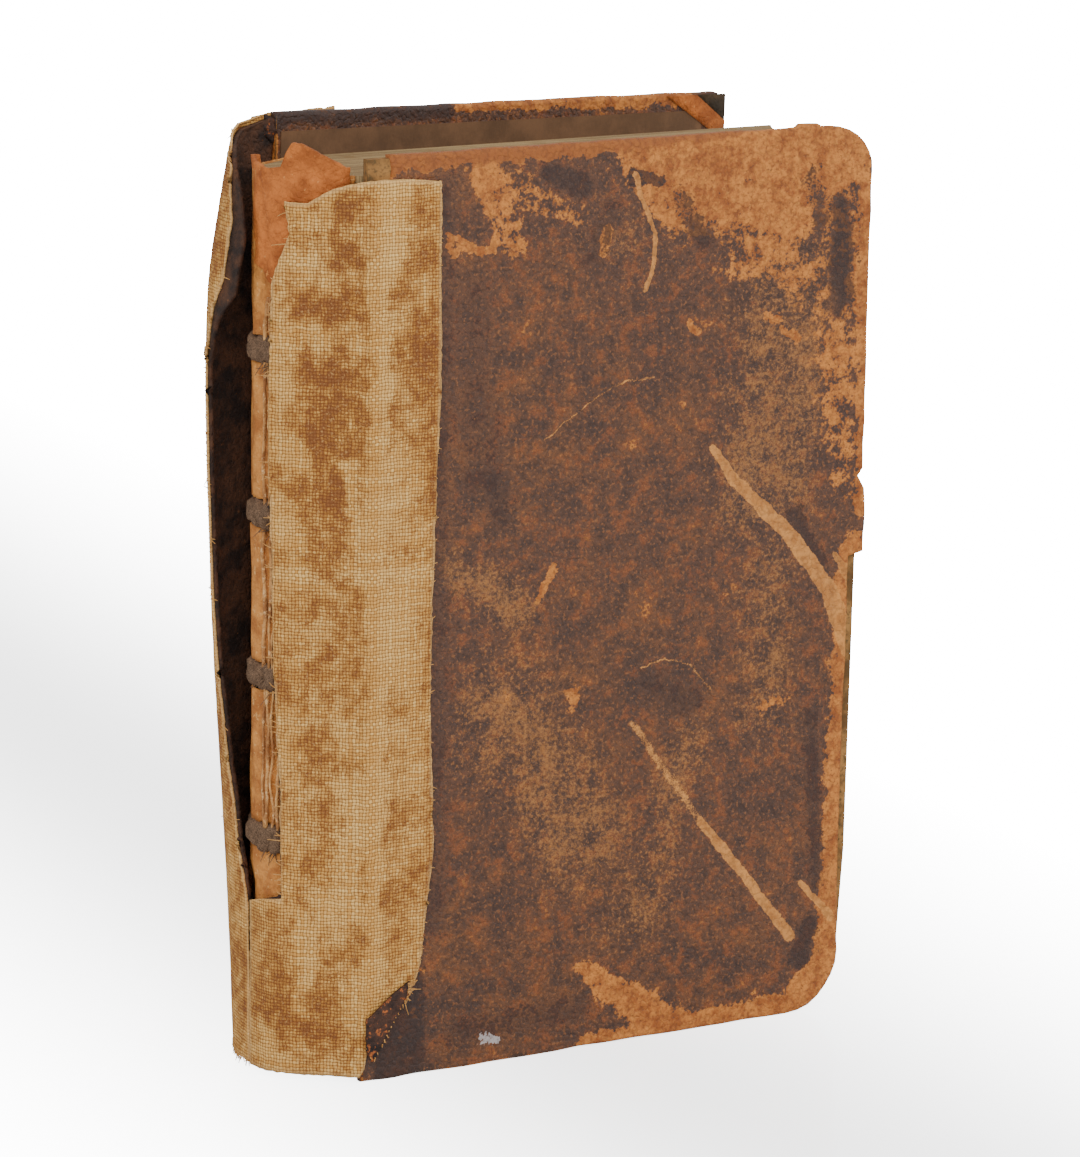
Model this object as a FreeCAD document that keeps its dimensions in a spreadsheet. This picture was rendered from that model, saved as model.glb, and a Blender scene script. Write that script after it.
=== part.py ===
"""Old hardback book, standing open on its tail: leather over boards, sewn on four raised cords.

The book's spine has come loose. Its old leather and the cloth that was pasted over it still hold at
the foot and along the rear joint, and stand off the pages as a curled flap, so that the sewing shows.

Frame: +X runs from the spine to the fore edge, +Y from the front cover to the rear one and +Z from
the tail to the head. The origin is in the middle of the front cover's tail edge, on the floor.
"""
import FreeCAD, Part
import math
import os
import Sketcher

# Driving dimensions, in millimetres and degrees.
DIMENSIONS = {
    # covers
    "cover_width": 111.4,
    "cover_height": 180.0,
    "board_thickness": 2.2,
    "leather_thickness": 0.6,
    "pastedown_thickness": 0.2,
    "turn_in_width": 12.0,
    "turn_in_thickness": 0.4,
    "turn_in_showing": 3.6,
    "head_corner": 9.5,
    "tail_corner": 12.0,
    "rear_corner": 3.0,
    # worn fore edge of the front cover
    "worn_width": 108.6,
    "board_proud": 0.7,
    "wear_foot": 33.0,
    "wear_lean": 0.6,
    "chip_foot": 94.0,
    "chip_head": 107.0,
    "chip_width": 111.9,
    "notch_height": 109.6,
    "notch_depth": 1.2,
    "bared_corner": 4.6,
    # pages
    "text_thickness": 27.1,
    "square": 4.0,
    "fore_square": 5.0,
    "fore_hollow": 4.0,
    "shoulder_inset": 1.0,
    "spine_round_share": 0.5203,
    "slope_angle": 31.5,
    "page_clearance": 0.3,
    # sewing and linings
    "cord_first": 47.4,
    "cord_head_gap": 37.8,
    "cord_count": 4,
    "cord_width": 5.0,
    "cord_sunk": 0.8,
    "cord_under": 0.55,
    "cord_lump": 1.6,
    "lump_front": 23.0,
    "lump_rear": 56.0,
    "lining_thickness": 0.6,
    "lining_gap": 0.1,
    "slip_length": 14.0,
    "slip_thickness": 0.45,
    "slip_root": 4.0,
    "slip_spread": 9.0,
    # loose spine
    "paste_gap": 0.05,
    "spine_leather_thickness": 0.8,
    "cloth_thickness": 0.5,
    "spine_stack": 2.2,
    "joint_gap": 0.8,
    "front_joint_sink": 0.6,
    "rear_joint_sink": 0.5,
    "hem_height": 1.2,
    "head_leather_length": 30.0,
    "head_leather_proud": 3.0,
    # cloth on the covers
    "cloth_reach": 15.2,
    "cloth_short": 5.2,
    "cloth_tear": 20.0,
    "cloth_tear_foot": 12.6,
    # how the rear cover stands
    "rear_joint_share": 0.539,
    "rear_joint_stand": 7.2,
    "rear_opening": 8.5,
    "rear_sag": 2.0,
}


class Size:
    """A length or an angle: its number, and the text that ties it to the sheet of dimensions."""

    def __init__(self, value, text):
        self.value = value
        self.text = text

    def __add__(self, other):
        return combine(self, other, "+", lambda a, b: a + b)

    def __sub__(self, other):
        return combine(self, other, "-", lambda a, b: a - b)

    def __mul__(self, other):
        return combine(self, other, "*", lambda a, b: a * b)

    def __truediv__(self, other):
        return combine(self, other, "/", lambda a, b: a / b)

    def __neg__(self):
        return Size(-self.value, f"(-{self.text})")


def fixed(number):
    """A plain number as a Size."""
    return Size(float(number), repr(float(number)))


def combine(left, right, sign, work):
    """The Size that two others make."""
    left, right = [item if isinstance(item, Size) else fixed(item) for item in (left, right)]
    return Size(work(left.value, right.value), f"({left.text} {sign} {right.text})")


def sine(angle):
    """The sine of an angle in degrees."""
    return Size(math.sin(math.radians(angle.value)), f"sin({angle.text})")


def cosine(angle):
    """The cosine of an angle in degrees."""
    return Size(math.cos(math.radians(angle.value)), f"cos({angle.text})")


def make_sheet(document):
    """The sheet of driving dimensions, and each of them as a Size."""
    sheet = document.addObject("Spreadsheet::Sheet", "Sizes")
    sizes = {}
    for row, (alias, value) in enumerate(DIMENSIONS.items(), start=1):
        sheet.set(f"A{row}", alias)
        sheet.set(f"B{row}", repr(value))
        sheet.setAlias(f"B{row}", alias)
        sizes[alias] = Size(float(value), f"Sizes.{alias}")
    document.recompute()
    return sizes


DOC = FreeCAD.newDocument("Book")
SIZE = make_sheet(DOC)
SUB_PARTS = []

# Sizes worked out from the driving ones.
WIDTH = SIZE["cover_width"]
HEIGHT = SIZE["cover_height"]
LEATHER = SIZE["leather_thickness"]
PAGE_SIDE = LEATHER + SIZE["board_thickness"]
COVER = PAGE_SIDE + SIZE["pastedown_thickness"]
TEXT_FRONT = COVER + SIZE["page_clearance"]
TEXT_REAR = TEXT_FRONT + SIZE["text_thickness"]
TEXT_MIDDLE = TEXT_FRONT + SIZE["text_thickness"] / 2
TEXT_HEAD = HEIGHT - SIZE["square"]
SPINE_ROUND = SIZE["text_thickness"] * SIZE["spine_round_share"]
REAR_JOINT_X = -(SPINE_ROUND * SIZE["rear_joint_share"])
REAR_JOINT_Y = TEXT_REAR + SIZE["rear_joint_stand"]
CORD_PITCH = (HEIGHT - SIZE["cord_first"] - SIZE["cord_head_gap"]) / (SIZE["cord_count"] - 1)
SLOPE = SIZE["slope_angle"]
NOSE = (cosine(SLOPE) * SIZE["text_thickness"] / 2 - sine(SLOPE) * SPINE_ROUND) / (
    fixed(1) - sine(SLOPE))
NOSE_X = SIZE["shoulder_inset"] - SPINE_ROUND + NOSE
SLOPE_RUN = (SIZE["shoulder_inset"] - NOSE_X + NOSE * sine(SLOPE)) / cosine(SLOPE)


def to_origin(extra=""):
    """The placement that moves a piece from the front joint's foot to the book's origin."""
    shift = f"vector(-{WIDTH.text} / 2; -{COVER.text} / 2; 0)"
    return f"placement({shift}; rotation(0; 0; 0)){extra}"


def rear_lift():
    """How far the rear cover's spine side is lifted, when its fore-edge corner is on the floor."""
    corner = SIZE["rear_corner"]
    sag = SIZE["rear_sag"]
    return (WIDTH - corner) * sine(sag) + corner * (fixed(1) - cosine(sag))


def rear_placement():
    """The placement of the rear cover, built like the front one, at its own joint."""
    foot = f"vector({REAR_JOINT_X.text}; {REAR_JOINT_Y.text}; {rear_lift().text})"
    turn = f"rotation({SIZE['rear_opening'].text}; {SIZE['rear_sag'].text}; 0)"
    return to_origin(f" * placement({foot}; {turn})")


def new_body(name, placement=None):
    """A sub-part made of sketched features, set in its place.

    The placement is tied to the sheet, so that the piece follows the sizes that place it.
    """
    body = DOC.addObject("PartDesign::Body", name)
    body.Label = name
    body.setExpression("Placement", placement or to_origin())
    SUB_PARTS.append(body)
    return body


def sketch_on(body, plane, lift, corners, arcs=None):
    """A closed outline on one of the body's own planes, each corner tied to the sheet.

    corners are pairs of Size. arcs gives, for the edge that leaves a corner, its centre, its radius
    and whether it turns anticlockwise.
    """
    arcs = arcs or {}
    sketch = body.newObject("Sketcher::SketchObject", f"{body.Name}_outline")
    planes = {item.Role: item for item in body.Origin.OriginFeatures}
    sketch.AttachmentSupport = (planes[plane], [""])
    sketch.MapMode = "FlatFace"
    sketch.setExpression("AttachmentOffset.Base.z", lift.text)
    points = [FreeCAD.Vector(x.value, y.value, 0) for x, y in corners]
    starts, ends = [], []
    for index, start in enumerate(points):
        end = points[(index + 1) % len(points)]
        if index not in arcs:
            sketch.addGeometry(Part.LineSegment(start, end), False)
            starts.append(1)
            ends.append(2)
            continue
        (centre_x, centre_y), radius, anticlockwise = arcs[index]
        centre = FreeCAD.Vector(centre_x.value, centre_y.value, 0)
        first, last = (start, end) if anticlockwise else (end, start)
        angles = [math.atan2(point.y - centre.y, point.x - centre.x) for point in (first, last)]
        if angles[1] < angles[0]:
            angles[1] += 2 * math.pi
        circle = Part.Circle(centre, FreeCAD.Vector(0, 0, 1), radius.value)
        sketch.addGeometry(Part.ArcOfCircle(circle, *angles), False)
        starts.append(1 if anticlockwise else 2)
        ends.append(2 if anticlockwise else 1)
    for index, (x, y) in enumerate(corners):
        previous = index - 1 if index else len(points) - 1
        joined = Sketcher.Constraint("Coincident", previous, ends[previous], index, starts[index])
        sketch.addConstraint(joined)
        for kind, size in (("DistanceX", x), ("DistanceY", y)):
            number = sketch.addConstraint(Sketcher.Constraint(kind, index, starts[index], size.value))
            sketch.setExpression(f"Constraints[{number}]", size.text)
    for index, (_, radius, _) in arcs.items():
        number = sketch.addConstraint(Sketcher.Constraint("Radius", index, radius.value))
        sketch.setExpression(f"Constraints[{number}]", radius.text)
    return sketch


def add_pad(body, sketch, length, backwards=False):
    """A pad of an outline, and the body's new tip."""
    feature = body.newObject("PartDesign::Pad", f"{body.Name}_pad")
    feature.Profile = sketch
    feature.setExpression("Length", length.text)
    feature.Reversed = backwards
    body.Tip = feature
    return feature


def add_pocket(body, sketch, length, backwards=False):
    """A pocket of an outline, and the body's new tip."""
    feature = body.newObject("PartDesign::Pocket", f"{body.Name}_pocket")
    feature.Profile = sketch
    feature.setExpression("Length", length.text)
    feature.Reversed = backwards
    body.Tip = feature
    return feature


def add_row(body, feature, plane_axis, step):
    """Repeats a feature at each cord's height."""
    row = body.newObject("PartDesign::LinearPattern", f"{body.Name}_row")
    row.Originals = [feature]
    axes = {item.Role: item for item in body.Origin.OriginFeatures}
    row.Direction = (axes[plane_axis], [""])
    row.setExpression("Length", (step * (SIZE["cord_count"] - 1)).text)
    row.setExpression("Occurrences", SIZE["cord_count"].text)
    body.Tip = row
    return row


# Pages.

def spine_points(offset, front_run, rear_run):
    """Corners of the spine's profile at an offset outwards from the pages' folds.

    The profile is a straight slope up from the front shoulder, a round nose and a slope down to
    the rear shoulder. The runs are how far it follows each slope from the nose.
    """
    radius = NOSE + offset
    side_x = NOSE_X - radius * sine(SLOPE)
    half = radius * cosine(SLOPE)
    return [
        (side_x + front_run * cosine(SLOPE), TEXT_MIDDLE - half - front_run * sine(SLOPE)),
        (side_x, TEXT_MIDDLE - half),
        (side_x, TEXT_MIDDLE + half),
        (side_x + rear_run * cosine(SLOPE), TEXT_MIDDLE + half + rear_run * sine(SLOPE)),
    ], radius


def band(body, lift, inner, outer, front_run, rear_run):
    """The outline of a strip that lies along the spine between two offsets."""
    inside, inner_radius = spine_points(inner, front_run, rear_run)
    outside, outer_radius = spine_points(outer, front_run, rear_run)
    centre = (NOSE_X, TEXT_MIDDLE)
    corners = outside + inside[::-1]
    arcs = {1: (centre, outer_radius, False), 5: (centre, inner_radius, True)}
    return sketch_on(body, "XY_Plane", lift, corners, arcs)


def make_text_block():
    """The pages as one solid, with a rounded spine, a hollow fore edge and grooves for the cords."""
    body = new_body("text_block")
    (_, front, rear, _), _ = spine_points(fixed(0), fixed(0), fixed(0))
    fore = WIDTH - SIZE["fore_square"]
    half = SIZE["text_thickness"] / 2
    hollow = SIZE["fore_hollow"]
    fore_radius = (half * half + hollow * hollow) / (hollow * 2)
    corners = [
        (SIZE["shoulder_inset"], TEXT_FRONT),
        (fore, TEXT_FRONT),
        (fore, TEXT_REAR),
        (SIZE["shoulder_inset"], TEXT_REAR),
        rear,
        front,
    ]
    arcs = {
        1: ((fore + fore_radius - hollow, TEXT_MIDDLE), fore_radius, False),
        4: ((NOSE_X, TEXT_MIDDLE), NOSE, True),
    }
    outline = sketch_on(body, "XY_Plane", SIZE["square"], corners, arcs)
    add_pad(body, outline, HEIGHT - SIZE["square"] * 2)
    groove = band(body, SIZE["cord_first"] - SIZE["cord_width"] / 2, -SIZE["cord_sunk"],
                  SIZE["spine_stack"], SLOPE_RUN * 0.9, SLOPE_RUN * 0.9)
    cut = add_pocket(body, groove, SIZE["cord_width"], backwards=True)
    add_row(body, cut, "Z_Axis", CORD_PITCH)
    return body


def cord_height(number):
    """The height of a cord's middle, counted from the tail."""
    return SIZE["cord_first"] + CORD_PITCH * number


def make_sewing_cord(number):
    """A raised cord: sunk flat under the covering, and a round lump where the spine is bare."""
    body = new_body(f"sewing_cord_{number + 1}")
    width = SIZE["cord_width"]
    foot = cord_height(number) - width / 2
    run = SLOPE_RUN * 0.9
    flat = band(body, foot, -SIZE["cord_sunk"], SIZE["cord_under"], run, run)
    add_pad(body, flat, width)
    half = width / 2
    rise = SIZE["cord_lump"] - SIZE["cord_under"]
    round_radius = (half * half + rise * rise) / (rise * 2)
    side = -(NOSE + SIZE["cord_under"])
    middle = cord_height(number)
    corners = [(side, middle + half), (side, middle - half), (-NOSE, middle - half),
               (-NOSE, middle + half)]
    crown = ((side - rise + round_radius, middle), round_radius, True)
    section = sketch_on(body, "XZ_Plane", -TEXT_MIDDLE, corners, {0: crown})
    section.setExpression("AttachmentOffset.Base.x", NOSE_X.text)
    lump = body.newObject("PartDesign::Revolution", f"{body.Name}_lump")
    lump.Profile = section
    lump.ReferenceAxis = (section, ["V_Axis"])
    lump.Type = "TwoAngles"
    lump.setExpression("Angle", SIZE["lump_front"].text)
    lump.setExpression("Angle2", SIZE["lump_rear"].text)
    body.Tip = lump
    return body


def make_spine_lining(number):
    """A lining strip pasted on the folds between two cords, or between a cord and an end."""
    body = new_body(f"spine_lining_{number + 1}")
    half = SIZE["cord_width"] / 2 + SIZE["lining_gap"]
    foot = SIZE["square"] if number == 0 else cord_height(number - 1) + half
    head = TEXT_HEAD if number == DIMENSIONS["cord_count"] else cord_height(number) - half
    run = SLOPE_RUN * 0.85
    add_pad(body, band(body, foot, fixed(0), SIZE["lining_thickness"], run, run), head - foot)
    return body


def torn_pocket(body, points):
    """Cuts away what lies outside a torn edge, seen from the spine side.

    The edge's points are shares of the way to the rear joint and of the cover's height.
    """
    corners = [(REAR_JOINT_Y * across, HEIGHT * up) for across, up in points]
    outline = sketch_on(body, "YZ_Plane", SIZE["shoulder_inset"] + 2, corners)
    return add_pocket(body, outline, SPINE_ROUND * 2)


def make_head_leather():
    """The remnant of the old leather at the head, with a tongue that stands over the pages."""
    body = new_body("head_leather")
    top = HEIGHT + SIZE["head_leather_proud"]
    foot = top - SIZE["head_leather_length"]
    inner = SIZE["lining_thickness"] + SIZE["paste_gap"]
    outer = inner + SIZE["spine_leather_thickness"]
    strip = band(body, foot, inner, outer, SLOPE_RUN * 0.8, SLOPE_RUN * 0.5)
    add_pad(body, strip, top - foot)
    torn_pocket(body, [
        (-0.0532, 0.9811), (0.0399, 0.9822), (0.1197, 0.9906), (0.1809, 1.0033), (0.2181, 1.0106),
        (0.25, 1.0122), (0.2713, 1.0), (0.2979, 0.985), (0.3989, 0.9811), (0.5053, 0.9856),
        (0.5851, 0.9911), (0.6649, 0.9867), (0.9043, 0.9722), (0.9043, 1.0556), (-0.0532, 1.0556),
    ])
    torn_pocket(body, [
        (-0.0532, 0.8333), (0.9043, 0.8333), (0.9043, 0.9222), (0.6915, 0.9056), (0.5691, 0.8956),
        (0.4894, 0.8794), (0.4043, 0.8756), (0.3457, 0.8633), (0.3032, 0.8533), (-0.0532, 0.8522),
    ])
    return body


# Loose spine: sheets that wrap from the front joint round the nose to the rear joint.

def rear_joint_at(height):
    """The point of the rear joint's line at a height, and the rear board's own directions there."""
    opening = math.radians(SIZE["rear_opening"].value)
    lean = math.tan(math.radians(SIZE["rear_sag"].value)) * (height - rear_lift().value)
    along = FreeCAD.Vector(math.cos(opening), math.sin(opening), 0)
    outward = FreeCAD.Vector(-math.sin(opening), math.cos(opening), 0)
    foot = FreeCAD.Vector(REAR_JOINT_X.value, REAR_JOINT_Y.value, height)
    return foot + along * lean, along, outward


HEM = SIZE["hem_height"].value / HEIGHT.value
SHEET_FACETS = 20

# Each station of the loose spine: its share of the cover's height, and shares of the pages'
# thickness for the lift off the nose, the bulge beside it, and how far its back stands behind and
# before the rear joint.
SPINE_STATIONS = (
    (HEM, 0.0, -0.03, 0.096, 0.103),
    (0.189, 0.0, 0.0, 0.199, 0.118),
    (0.511, 0.059, 0.118, 0.406, 0.17),
    (0.833, 0.092, 0.162, 0.472, 0.144),
    (1.028, -0.018, -0.026, 0.303, 0.129),
)


def sheet_curve(station, depth):
    """The line of a sheet at one station, at a depth inwards from the cloth's outer face.

    Returns the end at the front joint, and the curve from the slope's top to the rear joint.
    """
    height = station[0] * HEIGHT.value
    lift, bulge, behind, before = [share * SIZE["text_thickness"].value for share in station[1:]]
    gap = SIZE["joint_gap"].value
    sink = SIZE["front_joint_sink"].value
    nose = FreeCAD.Vector(NOSE_X.value, TEXT_MIDDLE.value, height)
    radius = NOSE.value + SIZE["spine_stack"].value
    start = FreeCAD.Vector(-gap, sink, height)
    reach = nose - start
    distance = math.hypot(reach.x, reach.y)
    turn = math.atan2(reach.y, reach.x) + math.asin(radius / distance)
    along_slope = FreeCAD.Vector(math.cos(turn), math.sin(turn), 0)
    inward = FreeCAD.Vector(along_slope.y, -along_slope.x, 0)
    top = start + along_slope * math.sqrt(distance ** 2 - radius ** 2)
    between = (top - nose).normalize() + FreeCAD.Vector(-1, 0, 0)
    joint, along, outward = rear_joint_at(height)
    end = joint - along * gap - outward * SIZE["rear_joint_sink"].value
    through = [
        top,
        nose + between.normalize() * (radius + lift * 0.3),
        nose + FreeCAD.Vector(-radius - lift, 0, 0),
        nose + FreeCAD.Vector(-radius - bulge, radius * 0.87, 0),
        joint + FreeCAD.Vector(-behind, -before, 0),
        end,
    ]
    last = (end - through[-2]).normalize()
    outer = Part.BSplineCurve()
    outer.interpolate(Points=through, InitialTangent=along_slope * 10, FinalTangent=last * 4)
    if depth == 0:
        return start, outer
    moved = []
    for point in through[:-1]:
        tangent = outer.tangent(outer.parameter(point))[0]
        moved.append(point + FreeCAD.Vector(tangent.y, -tangent.x, 0) * depth)
    moved.append(end - outward * depth * 1.25)
    curve = Part.BSplineCurve()
    curve.interpolate(Points=moved, InitialTangent=along_slope * 10, FinalTangent=last * 4)
    inner_start = start + inward * depth
    inner_start += along_slope * ((start.x - inner_start.x) / along_slope.x)
    return inner_start, curve


def sheet_wire(station, near, far):
    """The closed section of a sheet between two depths at one station, in short straight runs."""
    outer_start, outer = sheet_curve(station, near)
    inner_start, inner = sheet_curve(station, far)
    outside = [outer_start, *outer.discretize(Number=SHEET_FACETS)]
    inside = [inner_start, *inner.discretize(Number=SHEET_FACETS)]
    return Part.makePolygon(outside + inside[::-1] + outside[:1])


def torn_prism(points):
    """A prism across the spine, from an outline seen from the spine side.

    The outline's points are shares of the way to the rear joint and of the cover's height.
    """
    reach = SPINE_ROUND.value * 2.5
    width, height = REAR_JOINT_Y.value, HEIGHT.value
    corners = [FreeCAD.Vector(-reach, across * width, up * height) for across, up in points + points[:1]]
    return Part.Face(Part.makePolygon(corners)).extrude(FreeCAD.Vector(reach + 2, 0, 0))


def make_loose_sheet(name, near, far, torn):
    """A sheet of the loose spine, torn open along an outline."""
    wires = [sheet_wire(station, near, far) for station in SPINE_STATIONS]
    whole = Part.makeLoft(wires, True, False)
    feature = DOC.addObject("Part::Feature", name)
    feature.Label = name
    feature.Shape = whole.cut(torn_prism(torn))
    shift = FreeCAD.Vector(-WIDTH.value / 2, -COVER.value / 2, 0)
    feature.Placement = FreeCAD.Placement(shift, FreeCAD.Rotation())
    SUB_PARTS.append(feature)
    return feature


def make_spine_cloth():
    """The cloth pasted over the old spine, with the opening that shows the sewing."""
    torn = [
        (-0.0532, 0.9778), (0.0532, 0.9744), (0.2606, 0.9528), (0.2394, 0.9167), (0.3005, 0.8667),
        (0.3112, 0.7222), (0.3005, 0.5778), (0.2926, 0.45), (0.266, 0.3167), (0.2606, 0.2),
        (0.4255, 0.1944), (0.5452, 0.2278), (0.6649, 0.3333), (0.7447, 0.4444), (0.7846, 0.5278),
        (0.7846, 0.7667), (0.7048, 0.8167), (0.5984, 0.8611), (0.5851, 0.9222), (0.6649, 0.9778),
        (0.8245, 1.0083), (1.0505, 1.0189), (1.1702, 1.0189), (1.1702, 1.0833), (-0.0532, 1.0833),
    ]
    return make_loose_sheet("spine_cloth", 0.0, SIZE["cloth_thickness"].value, torn)


def make_spine_leather():
    """The old leather inside the cloth, which reaches past it at the head and ends short in front."""
    torn = [
        (-0.0532, 0.8389), (0.1596, 0.8411), (0.3138, 0.8333), (0.3218, 0.7222), (0.3138, 0.5778),
        (0.3059, 0.45), (0.2819, 0.3167), (0.2766, 0.2028), (0.4255, 0.1978), (0.5559, 0.23),
        (0.6755, 0.3356), (0.7553, 0.4444), (0.7952, 0.5278), (0.7952, 0.7611), (0.6649, 0.8111),
        (0.5266, 0.8444), (0.4894, 0.9056), (0.5585, 0.9556), (0.7181, 0.9917), (1.0106, 1.0133),
        (1.1702, 1.0133), (1.1702, 1.0833), (-0.0532, 1.0833),
    ]
    near = SIZE["cloth_thickness"].value + SIZE["paste_gap"].value
    return make_loose_sheet("spine_leather", near, near + SIZE["spine_leather_thickness"].value, torn)


# Covers. Both are built with the outer face on the plane of their joint, depths running inwards.

class Cover:
    """One cover: its board, leather, pastedown, cloth strip and the cords laced into it."""

    def __init__(self, name, inward, placement, outline):
        self.name = name
        self.inward = inward
        self.placement = placement
        self.outline = outline

    def body(self, piece):
        """A new sub-part of this cover."""
        return new_body(f"{self.name}_{piece}", self.placement)

    def drawn(self, body, depth, outline):
        """An outline drawn at a depth from the cover's outer face."""
        corners, arcs = outline
        return sketch_on(body, "XZ_Plane", -depth * self.inward, corners, arcs)

    def plate(self, body, outline, depth, thickness):
        """Adds a plate of an outline, from a depth inwards."""
        return add_pad(body, self.drawn(body, depth, outline), thickness, self.inward > 0)

    def hollow(self, body, outline, depth, thickness):
        """Cuts an outline away, from a depth inwards."""
        return add_pocket(body, self.drawn(body, depth, outline), thickness, self.inward < 0)

    def board_core(self):
        """The board's outline, and the smaller one inside the turned-in leather."""
        return self.outline(LEATHER, -SIZE["board_proud"]), turn_in_window()

    def make_board(self):
        """The board, thinned under the turned-in leather and channelled for the laced cords."""
        body = self.body("board")
        core, window = self.board_core()
        full = SIZE["board_thickness"] - SIZE["turn_in_thickness"]
        self.plate(body, core, LEATHER, full)
        self.plate(body, window, LEATHER + full, SIZE["turn_in_thickness"])
        channel = self.hollow(body, self.slip(), PAGE_SIDE - SIZE["slip_thickness"],
                              SIZE["slip_thickness"])
        add_row(body, channel, "Z_Axis", CORD_PITCH)
        return body

    def make_leather(self):
        """The covering leather: outer sheet, edges and the strip turned in on the page side."""
        body = self.body("leather")
        core, window = self.board_core()
        full = SIZE["board_thickness"] - SIZE["turn_in_thickness"]
        self.plate(body, self.outline(fixed(0), fixed(0)), fixed(0), PAGE_SIDE)
        self.hollow(body, core, LEATHER, full)
        self.hollow(body, window, LEATHER + full, SIZE["turn_in_thickness"])
        return body

    def make_pastedown(self):
        """The leaf pasted over the board and the edges of the turned-in leather."""
        body = self.body("pastedown")
        margin = SIZE["turn_in_showing"]
        near, far = SIZE["joint_gap"], SIZE["worn_width"] - margin
        outline = [(near, margin), (far, margin), (far, HEIGHT - margin), (near, HEIGHT - margin)]
        self.plate(body, (outline, None), PAGE_SIDE, SIZE["pastedown_thickness"])
        return body

    def slip(self):
        """The outline of one laced-in cord, spread flat, at the first cord's height."""
        middle = SIZE["cord_first"]
        if self.inward < 0:
            middle = middle - rear_lift()
        root, spread = SIZE["slip_root"] / 2, SIZE["slip_spread"] / 2
        length = SIZE["slip_length"]
        corners = [(fixed(0), middle - root), (length, middle - spread), (length, middle + spread),
                   (fixed(0), middle + root)]
        return corners, None

    def make_cord_slips(self):
        """The four cords' ends, laced into the board and spread in their channels."""
        body = self.body("cord_slips")
        body.AllowCompound = True
        first = self.plate(body, self.slip(), PAGE_SIDE - SIZE["slip_thickness"],
                           SIZE["slip_thickness"])
        add_row(body, first, "Z_Axis", CORD_PITCH)
        return body

    def make_cloth(self, corners):
        """The strip of cloth pasted on the cover beside its joint."""
        body = self.body("cloth")
        thickness = SIZE["cloth_thickness"]
        self.plate(body, (corners, None), -thickness, thickness)
        return body


def turn_in_window():
    """The outline inside the turned-in leather, open at the joint."""
    width = SIZE["turn_in_width"]
    far = SIZE["worn_width"] - width
    return [(fixed(0), width), (far, width), (far, HEIGHT - width), (fixed(0), HEIGHT - width)], None


def worn_outline(inset, low_inset):
    """The front cover's outline: round corners, a chip and a notch, and a worn-back fore edge.

    inset draws it smaller all round. low_inset does so on the worn lower half of the fore edge.
    """
    worn = SIZE["worn_width"]
    tail, head = SIZE["tail_corner"], SIZE["head_corner"]
    low = worn - low_inset
    fore = WIDTH - inset
    chip = SIZE["chip_width"] - inset
    notch = SIZE["notch_height"]
    corners = [
        (fixed(0), inset),
        (worn - tail, inset),
        (worn - inset, tail),
        (low, SIZE["wear_foot"]),
        (low + SIZE["wear_lean"], SIZE["chip_foot"] + inset),
        (chip, SIZE["chip_foot"] + inset),
        (chip, SIZE["chip_head"]),
        (fore - SIZE["notch_depth"], notch),
        (fore, notch + SIZE["notch_depth"]),
        (fore, HEIGHT - head),
        (WIDTH - head, HEIGHT - inset),
        (fixed(0), HEIGHT - inset),
    ]
    arcs = {
        1: ((worn - tail, tail), tail - inset, True),
        9: ((WIDTH - head, HEIGHT - head), head - inset, True),
    }
    return corners, arcs


def plain_outline(inset, _):
    """The rear cover's outline, with nearly square corners."""
    corner = SIZE["rear_corner"]
    radius = corner - inset
    corners = [
        (fixed(0), inset),
        (WIDTH - corner, inset),
        (WIDTH - inset, corner),
        (WIDTH - inset, HEIGHT - corner),
        (WIDTH - corner, HEIGHT - inset),
        (fixed(0), HEIGHT - inset),
    ]
    arcs = {
        1: ((WIDTH - corner, corner), radius, True),
        3: ((WIDTH - corner, HEIGHT - corner), radius, True),
    }
    return corners, arcs


def make_front_cover():
    """The front cover, with its bared corner at the head and its torn cloth."""
    cover = Cover("front", 1, to_origin(), worn_outline)
    cover.make_board()
    leather = cover.make_leather()
    bare = SIZE["bared_corner"]
    torn = [
        (fixed(-1), HEIGHT - bare * 2),
        (bare * 0.5, HEIGHT - bare * 1.9),
        (bare, HEIGHT - bare * 1.4),
        (bare * 1.06, HEIGHT - bare * 0.4),
        (bare * 0.95, HEIGHT + 1),
        (fixed(-1), HEIGHT + 1),
    ]
    cover.hollow(leather, (torn, None), fixed(0), PAGE_SIDE)
    cover.make_pastedown()
    cover.make_cord_slips()
    reach = SIZE["cloth_reach"]
    head = HEIGHT - SIZE["cloth_short"]
    tear = SIZE["cloth_tear"]
    corners = [
        (fixed(0), SIZE["cloth_tear_foot"]),
        (reach - 4.4, tear - 1.6),
        (reach - 3.0, tear + HEIGHT * 0.017),
        (reach - 0.4, tear + HEIGHT * 0.144),
        (reach - 1.6, tear + HEIGHT * 0.3),
        (reach - 1.1, tear + HEIGHT * 0.456),
        (reach + 0.1, tear + HEIGHT * 0.633),
        (reach - 0.2, head),
        (fixed(0), head + 0.8),
    ]
    cover.make_cloth(corners)
    return cover


def make_rear_cover():
    """The rear cover, opened a little and standing on its fore-edge corner."""
    cover = Cover("rear", -1, rear_placement(), plain_outline)
    cover.make_board()
    cover.make_leather()
    cover.make_pastedown()
    cover.make_cord_slips()
    reach = SIZE["cloth_reach"]
    margin = SIZE["turn_in_showing"]
    corners = [(fixed(0), margin), (reach, margin), (reach, HEIGHT - margin), (fixed(0), HEIGHT - 1)]
    cover.make_cloth(corners)
    return cover


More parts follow.
